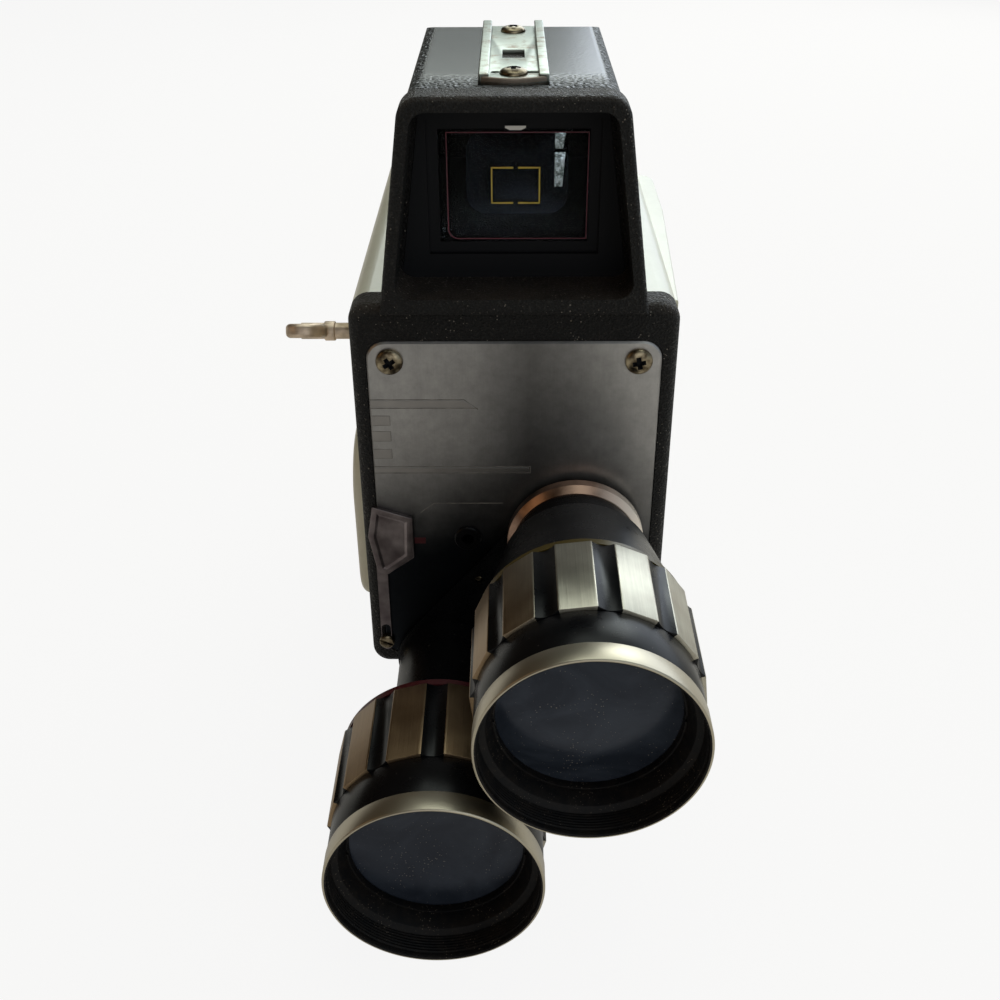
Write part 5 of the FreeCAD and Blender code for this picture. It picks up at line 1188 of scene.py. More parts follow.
def plate_bars():
    """Coined bars of the face plate: the long band, the pointed one above and the three short ones"""
    pieces = []
    for bar in [BAND_BAR, POINTED_BAR] + bracket_corners():
        piece = polygon_slab("plate_bar", in_metres(bar), PLATE_Y - BAR_PROUD, 2 * BAR_PROUD)
        ease_edges(piece, BAR_EASE, 1)
        pieces.append(piece)
    settle(joined("plate_bars", pieces), "root", "brushed_aluminium", finish="raised_bar")


def index_mark():
    (x, z), (wide, tall) = in_metres([INDEX_MARK, INDEX_SIZE])
    deselect_all()
    bpy.ops.mesh.primitive_cube_add(size=1, location=(x, PLATE_Y, z), scale=(wide, 4 * HAIR, tall))
    piece = placed("release_index")
    ease_edges(piece, HAIR, 1)
    settle(piece, "root", "red_enamel")


def flute_offset(place, x, z, angle):
    """Degrees from the middle of the nearest flute"""
    turn = math.degrees(math.atan2(place.z - z, place.x - x)) - angle
    return abs((turn + FLUTE_PITCH / 2) % FLUTE_PITCH - FLUTE_PITCH / 2)


def grip_height(offset, radius):
    """Share of the ring's radius so many degrees from a flute's middle: hollow in the flute and flat on the land"""
    if offset < FLUTE_HALF:
        return 1 - (1 - (offset / FLUTE_HALF) ** 2) * FLUTE_DEPTH / radius
    half = FLUTE_PITCH / 2
    return math.cos(math.radians(half - FLUTE_HALF)) / math.cos(math.radians(half - offset))


def grip_ring(lens):
    """Fluted grip ring: a ring of flat lands with hollow flutes pressed in between, burred at their edges"""
    low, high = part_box(lens + "_grip_ring")
    x, z = lens_axis(lens)
    angle = FLUTE_ANGLE[lens]
    radius = (high.x - low.x) / 2
    sides = round(360 / FLUTE_STEP)
    deselect_all()
    bpy.ops.mesh.primitive_cylinder_add(vertices=sides, radius=radius, depth=high.y - low.y, end_fill_type="NOTHING",
                                        location=(x, (low.y + high.y) / 2, z),
                                        rotation=(math.pi / 2, -math.radians(angle), 0))
    piece = placed(lens + "_grip")
    for step in range(math.ceil(FLUTE_PITCH / 2 / FLUTE_STEP)):
        offset = step * FLUTE_STEP
        scale = grip_height(offset, radius)
        choose(piece, "VERT", lambda place: abs(flute_offset(place, x, z, angle) - offset) < FLUTE_STEP / 4)
        bpy.ops.transform.resize(value=(scale, 1, scale), center_override=(x, 0, z))
    inner = TUBE_RADIUS / radius
    for end in (low.y, high.y):
        choose(piece, "EDGE", lambda place, run: abs(place.y - end) < WELD)
        bpy.ops.mesh.extrude_region()
        bpy.ops.transform.resize(value=(inner, 1, inner), center_override=(x, end, z))
    near = TUBE_RADIUS * GRIP_NEAR
    choose(piece, "EDGE", lambda place, run: math.hypot(place.x - x, place.z - z) < near)
    bpy.ops.mesh.bridge_edge_loops()
    close_mesh()
    weld()
    choose(piece, "EDGE", lambda place, run: abs(run.y) > SQUARE
           and abs(flute_offset(place, x, z, angle) - FLUTE_HALF) < FLUTE_STEP / 4
           and math.hypot(place.x - x, place.z - z) > near)
    bpy.ops.mesh.bevel(offset=sizes().burr, segments=2)
    close_mesh()
    ease_edges(piece, GRIP_CHAMFER, 2, 50)
    paint(piece, "satin_aluminium", "black_enamel",
          lambda place, normal: math.hypot(place.x - x, place.z - z) > near
          and flute_offset(place, x, z, angle) < FLUTE_PAINT)
    smooth(25)
    settle(piece, lens + "_grip", "satin_aluminium", lens + "_grip_ring")


def thread_profile(front, back, pitch):
    """Saw-toothed section of the filter thread, from front to back"""
    turns = round((back - front) / pitch)
    step = (back - front) / turns
    section = []
    for turn in range(turns):
        start = front + turn * step
        section += [(start, THREAD_RADIUS), (start + step / 2, THREAD_RADIUS - THREAD_DEPTH)]
    return section + [(back, THREAD_RADIUS)]


def lens_cell(lens):
    """Black front mount: skirt, glossy band, threaded mouth and the funnel down to the glass"""
    x, z = lens_axis(lens)
    low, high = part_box(lens + "_cell")
    profile = [(high.y, SKIRT_RADIUS), (ahead(BAND_BACK), SKIRT_RADIUS), (ahead(BAND_BACK), BAND_RADIUS),
               (ahead(BAND_FRONT), BAND_RADIUS), (ahead(BAND_FRONT), NOSE_RADIUS), (low.y, NOSE_RADIUS),
               (low.y, THREAD_RADIUS)]
    profile += thread_profile(ahead(THREAD_FRONT), ahead(THREAD_BACK), sizes().thread)
    profile += [(ahead(FUNNEL_FRONT), FUNNEL_RADIUS), (ahead(GLASS_SEAT), GLASS_VIEW),
                (ahead(GLASS_SEAT), GLASS_BORE), (ahead(GLASS_BACK), GLASS_BORE), (ahead(GLASS_BACK), SKIRT_BORE),
                (high.y, SKIRT_BORE), (high.y, SKIRT_RADIUS)]
    piece = turned(lens + "_mount", profile, x, z)
    ease_edges(piece, CELL_EASE)
    smooth()
    paint(piece, "black_anodised", "dusty_black",
          lambda place, normal: math.hypot(place.x - x, place.z - z) < THREAD_RADIUS + HAIR)
    settle(piece, lens + "_focus", "black_anodised", lens + "_cell")


def retaining_ring(lens):
    """Slotted ring that screws down on the front glass"""
    x, z = lens_axis(lens)
    front, back = ahead(RETAINER_FRONT), ahead(GLASS_SEAT)
    profile = [(back, GLASS_VIEW + HAIR), (back, RETAINER_RADIUS), (front, RETAINER_RADIUS),
               (front, GLASS_VIEW + RETAINER_FACE), (back, GLASS_VIEW + HAIR)]
    piece = turned(lens + "_retainer", profile, x, z, SMALL_SIDES)
    for side in (-1, 1):
        cut_block(piece, (x + side * RETAINER_RADIUS, front, z), (RETAINER_SLOT * 2, RETAINER_SLOT, RETAINER_SLOT))
    ease_edges(piece, CELL_EASE)
    smooth()
    settle(piece, lens + "_focus", "black_anodised", finish="dusty_black")


def lens_rim(lens):
    """Bright front ring with a thin lip and a blackened chamfer inside it"""
    x, z = lens_axis(lens)
    low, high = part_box(lens + "_front_ring")
    back = low.y + RIM_DEPTH
    profile = [(high.y, RING_RADIUS), (low.y + RIM_ROUND, RING_RADIUS), (low.y, RING_RADIUS - RIM_ROUND),
               (low.y, RIM_LIP), (low.y + RIM_ROUND, RING_BORE + RIM_ROUND), (back, RING_BORE),
               (back, NOSE_RADIUS + HAIR), (high.y, NOSE_RADIUS + HAIR), (high.y, RING_RADIUS)]
    piece = turned(lens + "_rim", profile, x, z)
    ease_edges(piece, RIM_EASE)
    smooth()
    paint(piece, "turned_rim", "dusty_black",
          lambda place, normal: math.hypot(place.x - x, place.z - z) < RIM_LIP - HAIR)
    settle(piece, lens + "_focus", "satin_aluminium", lens + "_front_ring")


def lens_face(lens):
    """Front element of a converter lens: crowned on the long lens, hollow on the wide one"""
    x, z = lens_axis(lens)
    low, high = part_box(lens + "_front_glass")
    radius = (high.x - low.x) / 2
    edge = high.y - GLASS_EDGE
    crown = edge - low.y if lens == "tele" else -GLASS_HOLLOW
    profile = []
    for ring in range(GLASS_RINGS + 1):
        share = ring / GLASS_RINGS
        profile.append((edge - crown * (1 - share ** 2), share * (GLASS_VIEW + GLASS_RIM)))
    profile += [(edge, radius), (high.y, radius), (high.y, 0.0)]
    piece = turned(lens + "_glass", profile, x, z)
    smooth(20)
    settle(piece, lens + "_focus", "lens_glass", lens + "_front_glass")


def paint_dot(name, place, radius, flat, sides):
    """Drop of paint: a ball pressed flat"""
    deselect_all()
    bpy.ops.mesh.primitive_uv_sphere_add(segments=sides, ring_count=sides // 2, radius=radius, location=place)
    piece = placed(name)
    squeeze(flat, place)
    return piece


def lens_dot():
    """White setting dot in the flange of the long lens's neck"""
    x, z = lens_axis("tele")
    turn = math.radians(DOT_TURN)
    place = (x + FLANGE_RADIUS * math.cos(turn), ahead(FLANGE_FACE), z + FLANGE_RADIUS * math.sin(turn))
    dot = paint_dot("tele_dot", place, DOT_RADIUS, (1, 1, DOT_FLAT), DOT_SIDES)
    smooth()
    settle(dot, "turret", "dial_white")


def finder_panes():
    """Front window and printed glass behind it, with blackened edges, and the lens at the eye"""
    boxes = solids_of("finder_glasses")
    panes = []
    for name, (low, high) in zip(("printed_glass", "window_pane"), boxes):
        outline = rounded_outline((high.x - low.x) / 2, (high.z - low.z) / 2, PANE_CORNER, 0.0, (low.z + high.z) / 2)
        pane = polygon_slab(name, outline, low.y, high.y - low.y)
        paint(pane, "finder_glass", "matte_black", lambda place, normal: abs(normal.y) < SQUARE)
        panes.append(pane)
    low, high = boxes[2]
    radius = (high.x - low.x) / 2
    shares = [ring / EYE_RINGS for ring in range(EYE_RINGS + 1)]
    profile = [(low.y + EYE_CROWN * share ** 2, radius * share) for share in shares]
    profile += [(high.y, radius), (high.y, 0.0)]
    panes.append(turned("eye_lens", profile, 0.0, (low.z + high.z) / 2, EYE_SIDES))
    smooth(20)
    for pane in panes:
        settle(pane, "root", "finder_glass", "finder_glasses")


def finder_lens():
    """Deep oblong lens behind the window, its face hollowed and its corners round"""
    half_x, half_z = LENS_HALF
    outline = rounded_outline(half_x, half_z, LENS_CORNER, LENS_MIDDLE[0], LENS_MIDDLE[1], steps=10)
    piece = polygon_slab("finder_lens", outline, LENS_FRONT, LENS_THICKNESS)
    choose(piece, "FACE", lambda place, normal: normal.y < -SQUARE)
    middle = (LENS_MIDDLE[0], LENS_FRONT, LENS_MIDDLE[1])
    last = 1.0
    for ring in range(1, LENS_RINGS):
        share = 1 - ring / LENS_RINGS
        scale = share / last
        bpy.ops.mesh.extrude_region()
        bpy.ops.transform.resize(value=(scale, 1, scale), center_override=middle)
        bpy.ops.transform.translate(value=(0, LENS_HOLLOW * (last ** 2 - share ** 2), 0))
        last = share
    close_mesh()
    weld()
    smooth(40)
    settle(piece, "root", "finder_glass", finish="dark_lens")


def lens_clips():
    """Two bright spring leaves that hold the oblong lens by its right edge and stand in for the reflection streak on
    the window
    """
    pieces = []
    for low, high in CLIP_SPANS:
        points = [(CLIP_LEFT, low), (CLIP_RIGHT - CLIP_SLANT, low), (CLIP_RIGHT, high), (CLIP_LEFT, high)]
        piece = polygon_slab("lens_clip", points, LENS_FRONT - CLIP_THICKNESS, CLIP_THICKNESS)
        ease_edges(piece, CLIP_EASE, 3)
        smooth(60)
        pieces.append(piece)
    settle(joined("lens_clips", pieces), "root", "nickel_steel", finish="silvered_leaf")


def window_printing():
    """Crimson border on the window, mustard field marks on the glass behind it and the setting notch above"""
    left, right, low, high = [value * MM for value in RED_FRAME]
    y = WINDOW_FRONT + PANE_DEPTH
    angles = [math.radians(a) for a in range(90, -1, -RED_CORNER_STEP)]
    arc = [(left + RED_CORNER * (1 - math.sin(a)), low + RED_CORNER * (1 - math.cos(a))) for a in angles]
    outline = [(right, low), (right, high), (left, high)] + arc + [(right, low)]
    border = printed_line("window_border", [(x, y, z) for x, z in outline], RED_LINE, HAIR, True)
    settle(border, "root", "red_enamel", finish="printed_red")
    left, right, low, high = [value * MM for value in YELLOW_FRAME]
    y = WINDOW_BACK - HAIR
    marks = []
    for side, turn in ((left, -1), (right, 1)):
        end = (left + right) / 2 + turn * YELLOW_GAP
        points = [(end, y, high), (side, y, high), (side, y, low), (end, y, low)]
        marks.append(printed_line("field_mark", points, YELLOW_LINE, HAIR))
    settle(joined("field_marks", marks), "root", "yellow_enamel", finish="printed_yellow")
    x, z = NOTCH_PLACE
    wide, narrow, tall = NOTCH_SIZE
    points = [(x - wide, z + tall), (x - wide, z), (x - narrow, z - tall), (x + narrow, z - tall), (x + wide, z),
              (x + wide, z + tall)]
    settle(polygon_slab("setting_notch", points, WINDOW_FRONT - 2 * HAIR, 2 * HAIR), "root", "dial_white")


def channel():
    """Accessory channel: a chromed base with a bowed front edge, and two rails with lips that turn inwards"""
    low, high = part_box("accessory_channel")
    shares = [2 * step / BOW_STEPS - 1 for step in range(BOW_STEPS + 1)]
    bow = [(high.x * share, low.y + CHANNEL_BOW * share ** 2) for share in shares]
    base = polygon_slab("channel_base", bow + [(high.x, high.y), (-high.x, high.y)], low.z, CHANNEL_BASE, True)
    for x, y, size in CHANNEL_HOLES:
        deselect_all()
        bpy.ops.mesh.primitive_cylinder_add(vertices=HOLE_SIDES, radius=size, depth=CHANNEL_DRILL,
                                            location=(x, low.y + y, low.z))
        cut_away(base, placed("hole"))
    for left, right, front, back in CHANNEL_CUTS:
        cut_block(base, ((left + right) / 2, low.y + (front + back) / 2, low.z),
                  (right - left, back - front, CHANNEL_DRILL))
    ease_edges(base, BASE_EASE, 3)
    smooth(30)
    paint(base, "chrome_plate")
    inner = [(x * (1 - APRON_WALL / high.x), y + APRON_WALL) for x, y in bow]
    apron = polygon_slab("channel_apron", bow + inner[::-1], low.z, APRON_HEIGHT, True)
    ease_edges(apron, APRON_EASE, 4)
    smooth(40)
    paint(apron, "dusty_brass")
    pieces = [base, apron]
    foot, top, under = low.z + CHANNEL_BASE / 2, high.z, high.z - CHANNEL_LIP
    wall, lip = high.x - CHANNEL_WALL, high.x - CHANNEL_RAIL
    section = [(high.x, foot), (high.x, top), (lip, top), (lip, under), (wall, under), (wall, foot)]
    for side in (-1, 1):
        rail = polygon_slab("channel_rail", [(side * x, z) for x, z in section], low.y + CHANNEL_SETBACK,
                            high.y - low.y - CHANNEL_SETBACK)
        ease_edges(rail, RAIL_EASE, 4)
        smooth(40)
        paint(rail, "chrome_plate")
        pieces.append(rail)
    settle(joined("channel", pieces), "root", "chrome_plate", "accessory_channel")


def release_plate():
    """Dished face of the release tab with its raised rim"""
    piece = polygon_slab("release_face", in_metres(TAB_OUTLINE), TAB_FRONT - TAB_PROUD, TAB_PROUD + TAB_SINK)
    ease_edges(piece, TAB_EASE, 2, 60)
    choose(piece, "FACE", lambda place, normal: normal.y < -TAB_FACING)
    bpy.ops.mesh.inset(thickness=TAB_RIM, depth=0)
    bpy.ops.mesh.inset(thickness=TAB_RIM / 2, depth=-TAB_DISH)
    close_mesh()
    ease_edges(piece, DISH_EASE, 3, 20)
    smooth(60)
    settle(piece, "release", "chrome_plate", finish="tab_metal")


def slotted_screw():
    """Slotted brass screw that guides the foot of the release tab"""
    low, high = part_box("release_screw")
    x, _, z = middle_of("release_screw")
    radius = (high.x - low.x) / 2
    inset, drop = GUIDE_CHAMFER
    neck = high.y - GUIDE_NECK
    profile = [(low.y, 0), (low.y, radius - inset), (low.y + drop, radius), (neck, radius), (neck, radius / 2),
               (high.y, radius / 2), (high.y, 0)]
    piece = turned("guide_screw", profile, x, z, SCREW_SIDES)
    cut_block(piece, (x, low.y, z), (4 * radius, *GUIDE_SLOT), GUIDE_TURN)
    ease_edges(piece, SCREW_EASE)
    smooth(30)
    settle(piece, "root", "plain_brass", "release_screw", finish="nickel_steel")


def coil_spring(node, pitch, axis):
    """Open coil spring that fills the space that the frame keeps for it"""
    low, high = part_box(node)
    start = low[axis] + SPRING_WIRE / 2
    length = high[axis] - low[axis] - SPRING_WIRE
    turns = max(1, round(length / pitch))
    across = [other for other in range(3) if other != axis]
    radius = (high[across[0]] - low[across[0]] - SPRING_WIRE) / 2
    points = []
    for step in range(turns * SPRING_STEPS + 1):
        angle = math.tau * step / SPRING_STEPS
        point = (low + high) / 2
        point[axis] = start + length * step / (turns * SPRING_STEPS)
        point[across[0]] += radius * math.cos(angle)
        point[across[1]] += radius * math.sin(angle)
        points.append(point)
    piece = drawn_line(node + "_coil", points, SPRING_WIRE)
    smooth(60)
    return settle(piece, "root", "nickel_steel", node)


def springs():
    """Release spring, with a mesh of its own, and the click spring of the turret"""
    release = coil_spring("release_spring", RELEASE_PITCH, 2)
    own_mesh(release)
    coil_spring("detent_spring", DETENT_PITCH, 1)


def winding_wing():
    """Winged grip of the key: a rounded bar with finger dishes on a slim sleeve, tilted as it stops at rest"""
    low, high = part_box("key_wing")
    _, y, z = middle_of("key_wing")
    middle = (low.x + WING_INNER) / 2
    outline = rounded_outline((WING_INNER - low.x) / 2, WING_HALF, WING_CORNER, middle, y, steps=8)
    piece = polygon_slab("key_grip", outline, z - WING_THICKNESS / 2, WING_THICKNESS, True)
    ease_edges(piece, WING_EDGE, 5, 60)
    for side in (-1, 1):
        for end in (-1, 1):
            deselect_all()
            place = (middle, y + end * WING_DISH_PLACE, z + side * (WING_THICKNESS / 2 + WING_DISH - WING_DISH_DEPTH))
            bpy.ops.mesh.primitive_uv_sphere_add(segments=SCREW_SIDES, ring_count=SCREW_SIDES // 2,
                                                 radius=WING_DISH, location=place)
            cut_away(piece, placed("finger_dish"))
    smooth(50)
    deselect_all()
    length = high.x - WING_INNER + WING_EDGE
    bpy.ops.mesh.primitive_cylinder_add(vertices=SCREW_SIDES, radius=WING_SLEEVE, depth=length,
                                        location=(high.x - length / 2, y, z), rotation=(0, math.pi / 2, 0))
    sleeve = placed("key_sleeve")
    choose(sleeve, "FACE", lambda place, normal: normal.x > SQUARE)
    bpy.ops.mesh.inset(thickness=WING_SLEEVE - KEY_SHAFT, depth=0)
    close_mesh()
    ease_edges(sleeve, SLEEVE_EASE, 3, 60)
    smooth(40)
    piece = joined("key_grip", [piece, sleeve])
    tilt = Matrix.Rotation(math.radians(WING_TILT), 4, "X")
    moved(piece, Matrix.Translation((0, y, z)) @ tilt @ Matrix.Translation((0, -y, -z)))
    settle(piece, "key", "key_metal", "key_wing")


def eye_cup():
    """Rubber eyecup with finger ribs round it and a soft rolled lip"""
    low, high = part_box("eyecup")
    outer = (high.x - low.x) / 2
    groove = outer - CUP_RIB
    pitch = (high.y - low.y - 2 * CUP_PLAIN) / CUP_RIBS
    profile = [(low.y, EYE_RADIUS + HAIR), (low.y, groove)]
    for rib in range(CUP_RIBS):
        start = low.y + CUP_PLAIN + rib * pitch
        profile += [(start + share * pitch, outer - CUP_RIB * depth) for share, depth in CUP_RIB_SHAPE]
    profile += [(high.y - CUP_LIP, groove), (high.y, outer - 2 * CUP_LIP), (high.y, outer - 3 * CUP_LIP),
                (EYE_BACK + CUP_LIP, CUP_BORE), (EYE_BACK + HAIR, CUP_BORE), (EYE_BACK + HAIR, EYE_RADIUS + HAIR),
                (low.y, EYE_RADIUS + HAIR)]
    piece = turned("eye_cup", profile, 0.0, middle_of("eyecup")[2], SMALL_SIDES)
    ease_edges(piece, CUP_EASE, 3, 30)
    smooth(40)
    settle(piece, "root", "soft_rubber", "eyecup")


def dial_number(index):
    deselect_all()
    bpy.ops.object.text_add()
    text = bpy.context.active_object.data
    text.body = str(index)
    text.align_x = "CENTER"
    text.align_y = "CENTER"
    text.size = DIAL_TEXT
    text.extrude = HAIR
    bpy.ops.object.convert(target="MESH")
    return bpy.context.active_object


def dial_marks():
    """Numbers and ticks printed round the footage dial, in fives of feet"""
    x, _, z = middle_of("counter_dial")
    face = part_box("counter_dial")[1].y + HAIR
    upright = Matrix.Rotation(math.pi, 4, "Z") @ Matrix.Rotation(math.pi / 2, 4, "X")
    pieces = []
    for index in range(DIAL_STEPS):
        turn = Matrix.Rotation(math.radians(-360 * index / DIAL_STEPS), 4, "Y")
        spin = Matrix.Translation((x, face, z)) @ turn
        if index % DIAL_NUMBERED == 0:
            pieces.append(moved(dial_number(index), spin @ Matrix.Translation((0, 0, DIAL_NUMBERS)) @ upright))
        deselect_all()
        bpy.ops.mesh.primitive_cube_add(size=1, scale=(DIAL_TICK, 2 * HAIR, DIAL_TICK_LENGTH))
        tick = placed("tick")
        ease_edges(tick, HAIR / 2, 1)
        pieces.append(moved(tick, spin @ Matrix.Translation((0, 0, DIAL_EDGE))))
    piece = joined("dial_marks", pieces)
    piece.data.materials.clear()
    settle(piece, "counter", "black_enamel")


def counter_window():
    """Chromed bezel round the counter window and the glass let into it"""
    x = middle_of("counter_dial")[0]
    half_x, half_z = COUNTER_HALF
    signs = [(-1, -1), (1, -1), (1, 1), (-1, 1)]
    corners = [(x + side * half_x, COUNTER_HEIGHT + end * half_z) for side, end in signs]
    points = [(px, BACK_FACE, pz) for px, pz in corners + corners[:1]]
    bezel = printed_line("counter_bezel", points, BEZEL_WIDTH, 2 * BEZEL_PROUD, True)
    settle(bezel, "root", "chrome_plate")
    sink, thickness = COUNTER_GLASS
    settle(polygon_slab("counter_glass", corners, BACK_FACE - sink, thickness), "root", "finder_glass")


def latch_marks():
    """Dots of paint on the door that the latch points to: red above for shut, black behind for open"""
    door = frame["nodes"]["film_door"]
    outside = 2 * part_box("latch_knob")[1].x
    y = middle_of("latch_knob")[1]
    for name, move_y, move_z, slot in (("shut_dot", 0, LATCH_DOT_REACH, "red_enamel"),
                                       ("open_dot", LATCH_DOT_REACH, 0, "black_enamel")):
        start = Vector((outside, y + move_y, LATCH_HEIGHT + move_z))
        place = door.ray_cast(start, Vector((-1, 0, 0)))[1]
        dot = paint_dot(name, place, LATCH_DOT, (LATCH_DOT_PROUD / LATCH_DOT, 1, 1), HOLE_SIDES)
        smooth(60)
        settle(dot, "door", slot)


def stage_floor():
    """Pale paper that keeps the object's shadow and shows white to the camera, and brighter in metal and glass"""
    deselect_all()
    bpy.ops.mesh.primitive_plane_add(size=FLOOR_SIZE, location=(0, 0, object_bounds()[0].z - HAIR))
    floor = placed("floor")
    material, tree = new_material("pale_floor")
    path = add_node(tree, "LightPath").outputs
    seen = add_node(tree, "Math", {"operation": "MULTIPLY", 1: FLOOR_SEEN}, {0: path["Is Camera Ray"]})
    mirrored = add_node(tree, "Math", {"operation": "MAXIMUM"},
                        {0: path["Is Glossy Ray"], 1: path["Is Transmission Ray"]})
    share = add_node(tree, "Math", {"operation": "MULTIPLY_ADD", 1: FLOOR_MIRRORED}, {0: mirrored, 2: seen})
    paper = add_node(tree, "BsdfDiffuse", {"Color": opaque("c8bfb0")})
    glow = add_node(tree, "Emission", {"Color": opaque("ffffff"), "Strength": 1.0})
    mixed = add_node(tree, "MixShader", {}, {0: share, 1: paper, 2: glow})
    add_node(tree, "OutputMaterial", links={"Surface": mixed})
    floor.data.materials.append(material)
    floor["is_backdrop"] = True


def stage_world():
    """White backdrop for the camera, and a soft room for the object: warm and dim on its left, cool on its right"""
    world = bpy.data.worlds.new("studio")
    world.use_nodes = True
    bpy.context.scene.world = world
    tree = world.node_tree
    tree.nodes.clear()
    path = add_node(tree, "LightPath").outputs
    seen = add_node(tree, "Math", {"operation": "MAXIMUM"},
                    {0: path["Is Camera Ray"], 1: path["Is Transmission Ray"]})
    aside = add_node(tree, "SeparateXYZ", {}, {0: add_node(tree, "TexCoord").outputs["Generated"]}).outputs["X"]
    turn = add_node(tree, "MapRange", {"From Min": ROOM_LEFT, "From Max": ROOM_RIGHT}, {"Value": aside})
    room = add_node(tree, "Mix", {"data_type": "RGBA", 6: opaque("34291d"), 7: opaque("a6afb5")}, {0: turn})
    colour = add_node(tree, "Mix", {"data_type": "RGBA", 7: opaque("ffffff")}, {0: seen, 6: room})
    sky = add_node(tree, "Background", {"Strength": 1.0}, {"Color": colour})
    add_node(tree, "OutputWorld", links={"Surface": sky})


def stage_lights():
    """Softboxes that face the object"""
    for name, place, size, power, colour in LIGHTS:
        deselect_all()
        bpy.ops.object.light_add(type="AREA", location=place)
        light = bpy.context.active_object
        light.name = name
        light.rotation_euler = (Vector(LIGHT_TARGET) - Vector(place)).to_track_quat("-Z", "Y").to_euler()
        light.data.shape = "RECTANGLE"
        light.data.size, light.data.size_y = size
        light.data.energy = power
        light.data.color = linear(colour)


def stage_camera():
    forward_turn = Matrix.Rotation(math.radians(90 - VIEW_PITCH), 4, "X")
    yaw = Matrix.Rotation(math.radians(-VIEW_YAW), 4, "Z")
    roll = Matrix.Rotation(math.radians(-VIEW_ROLL), 4, "Z")
    deselect_all()
    bpy.ops.object.camera_add()
    view = bpy.context.active_object
    view.name = "photograph_view"
    view.matrix_world = Matrix.Translation(VIEW_PLACE) @ yaw @ forward_turn @ roll
    view.data.sensor_width = VIEW_SENSOR
    view.data.lens = VIEW_LENS
    view.data.shift_x, view.data.shift_y = VIEW_SHIFT
    view.data.clip_start = VIEW_NEAR
    bpy.context.scene.camera = view


class MOVIECAMERA_OT_finishes(bpy.types.Operator):
    """Makes every material and puts one on each part of the frame"""
    bl_idname = "movie_camera.finishes"
    bl_label = "Finishes"

    def execute(self, context):
        for finish in FINISHES:
            made[finish.__name__] = finish()
        dress_nodes()
        return {"FINISHED"}


class MOVIECAMERA_OT_plate_marks(bpy.types.Operator):
    """Engraves the face plate, paints its index mark and adds the release tab with its screw and springs"""
    bl_idname = "movie_camera.plate_marks"
    bl_label = "Face plate marks"

    def execute(self, context):
        plate_lines()
        plate_bars()
        index_mark()
        release_plate()
        slotted_screw()
        springs()
        return {"FINISHED"}


class MOVIECAMERA_OT_grip_rings(bpy.types.Operator):
    """Adds the fluted grip ring of each converter lens"""
    bl_idname = "movie_camera.grip_rings"
    bl_label = "Grip rings"

    def execute(self, context):
        for lens in FLUTE_ANGLE:
            grip_ring(lens)
        return {"FINISHED"}


class MOVIECAMERA_OT_lens_mounts(bpy.types.Operator):
    """Adds the threaded front mount and the bright rim of each converter lens"""
    bl_idname = "movie_camera.lens_mounts"
    bl_label = "Lens mounts"

    def execute(self, context):
        for lens in FLUTE_ANGLE:
            lens_cell(lens)
            lens_rim(lens)
            lens_face(lens)
            retaining_ring(lens)
        lens_dot()
        return {"FINISHED"}


class MOVIECAMERA_OT_screws(bpy.types.Operator):
    """Adds the cross-recess screws"""
    bl_idname = "movie_camera.screws"
    bl_label = "Screws"

    def execute(self, context):
        screws()
        return {"FINISHED"}


class MOVIECAMERA_OT_finder(bpy.types.Operator):
    """Adds the finder's glasses, printing, oblong lens and eyecup"""
    bl_idname = "movie_camera.finder"
    bl_label = "Finder"

    def execute(self, context):
        finder_panes()
        finder_lens()
        lens_clips()
        window_printing()
        eye_cup()
        return {"FINISHED"}


class MOVIECAMERA_OT_key(bpy.types.Operator):
    """Adds the winged grip of the winding key"""
    bl_idname = "movie_camera.key"
    bl_label = "Winding key"

    def execute(self, context):
        winding_wing()
        return {"FINISHED"}


class MOVIECAMERA_OT_channel(bpy.types.Operator):
    """Finishes the accessory channel on top of the finder"""
    bl_idname = "movie_camera.channel"
    bl_label = "Accessory channel"

    def execute(self, context):
        channel()
        return {"FINISHED"}


class MOVIECAMERA_OT_dial(bpy.types.Operator):
    """Prints the footage dial, glazes its window and paints the latch's marks"""
    bl_idname = "movie_camera.dial"
    bl_label = "Footage dial"

    def execute(self, context):
        dial_marks()
        counter_window()
        latch_marks()
        return {"FINISHED"}


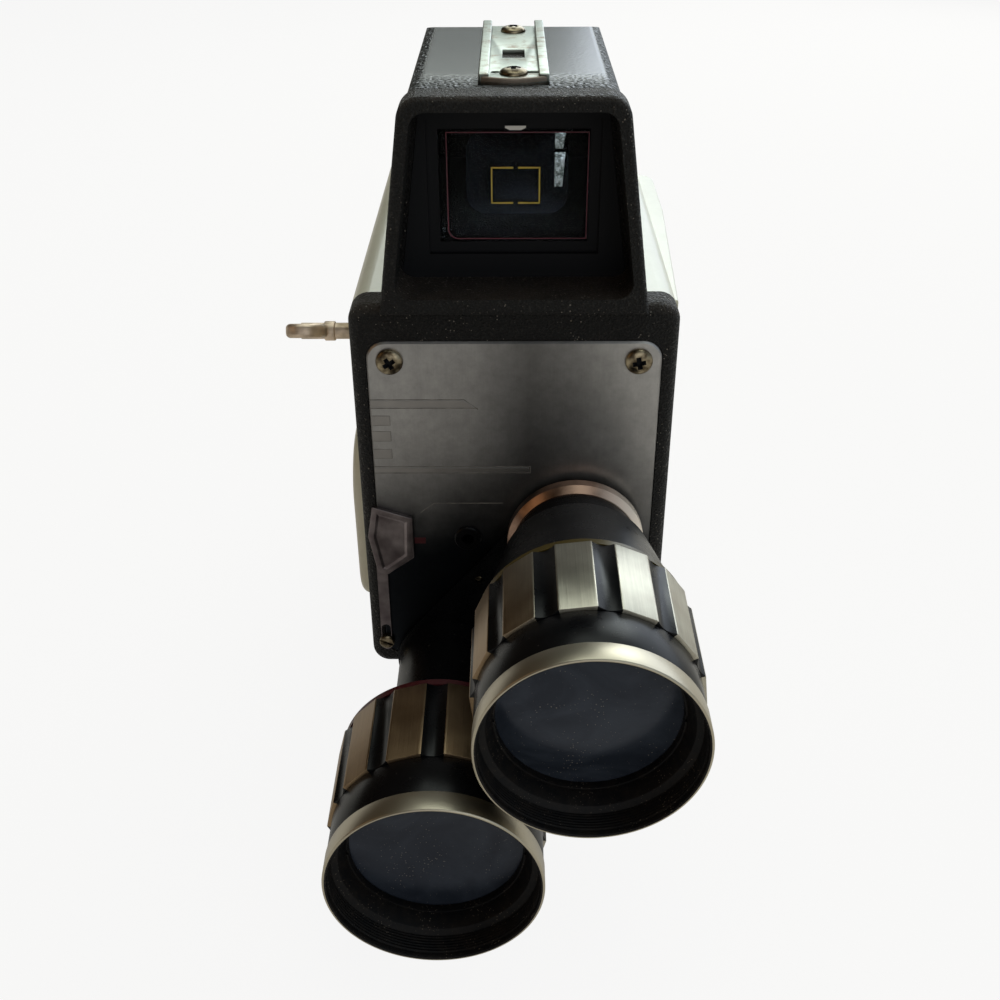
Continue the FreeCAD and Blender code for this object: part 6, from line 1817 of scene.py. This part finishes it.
class MOVIECAMERA_OT_stage(bpy.types.Operator):
    """Sets the pale floor, the soft lights and the camera at the photograph's angle"""
    bl_idname = "movie_camera.stage"
    bl_label = "Stage"

    def execute(self, context):
        stage_floor()
        stage_world()
        stage_lights()
        stage_camera()
        context.scene.view_settings.view_transform = "Standard"
        return {"FINISHED"}


class MOVIECAMERA_PT_panel(bpy.types.Panel):
    """Lists what can be set and made"""
    bl_idname = "MOVIECAMERA_PT_panel"
    bl_label = "Movie camera"
    bl_space_type = "VIEW_3D"
    bl_region_type = "UI"
    bl_category = "Movie camera"

    def draw(self, context):
        for group in (context.scene.movie_camera_sizes, context.scene.movie_camera_colours):
            for name in group.bl_rna.properties.keys():
                if name not in ("rna_type", "name"):
                    self.layout.prop(group, name)
        for operator in OPERATORS:
            self.layout.operator(operator.bl_idname)


OPERATORS = [MOVIECAMERA_OT_finishes, MOVIECAMERA_OT_plate_marks, MOVIECAMERA_OT_grip_rings,
             MOVIECAMERA_OT_lens_mounts, MOVIECAMERA_OT_screws, MOVIECAMERA_OT_finder, MOVIECAMERA_OT_key,
             MOVIECAMERA_OT_channel, MOVIECAMERA_OT_dial, MOVIECAMERA_OT_stage]
CLASSES = [CameraColours, CameraSizes] + OPERATORS + [MOVIECAMERA_PT_panel]


def register():
    for item in CLASSES:
        bpy.utils.register_class(item)
    bpy.types.Scene.movie_camera_colours = PointerProperty(type=CameraColours)
    bpy.types.Scene.movie_camera_sizes = PointerProperty(type=CameraSizes)


def unregister():
    del bpy.types.Scene.movie_camera_sizes
    del bpy.types.Scene.movie_camera_colours
    for item in reversed(CLASSES):
        bpy.utils.unregister_class(item)


def main():
    register()
    bpy.ops.movie_camera.finishes()
    bpy.ops.movie_camera.plate_marks()
    bpy.ops.movie_camera.grip_rings()
    bpy.ops.movie_camera.lens_mounts()
    bpy.ops.movie_camera.screws()
    bpy.ops.movie_camera.finder()
    bpy.ops.movie_camera.key()
    bpy.ops.movie_camera.channel()
    bpy.ops.movie_camera.dial()
    bpy.ops.movie_camera.stage()


if __name__ == "__main__":
    main()
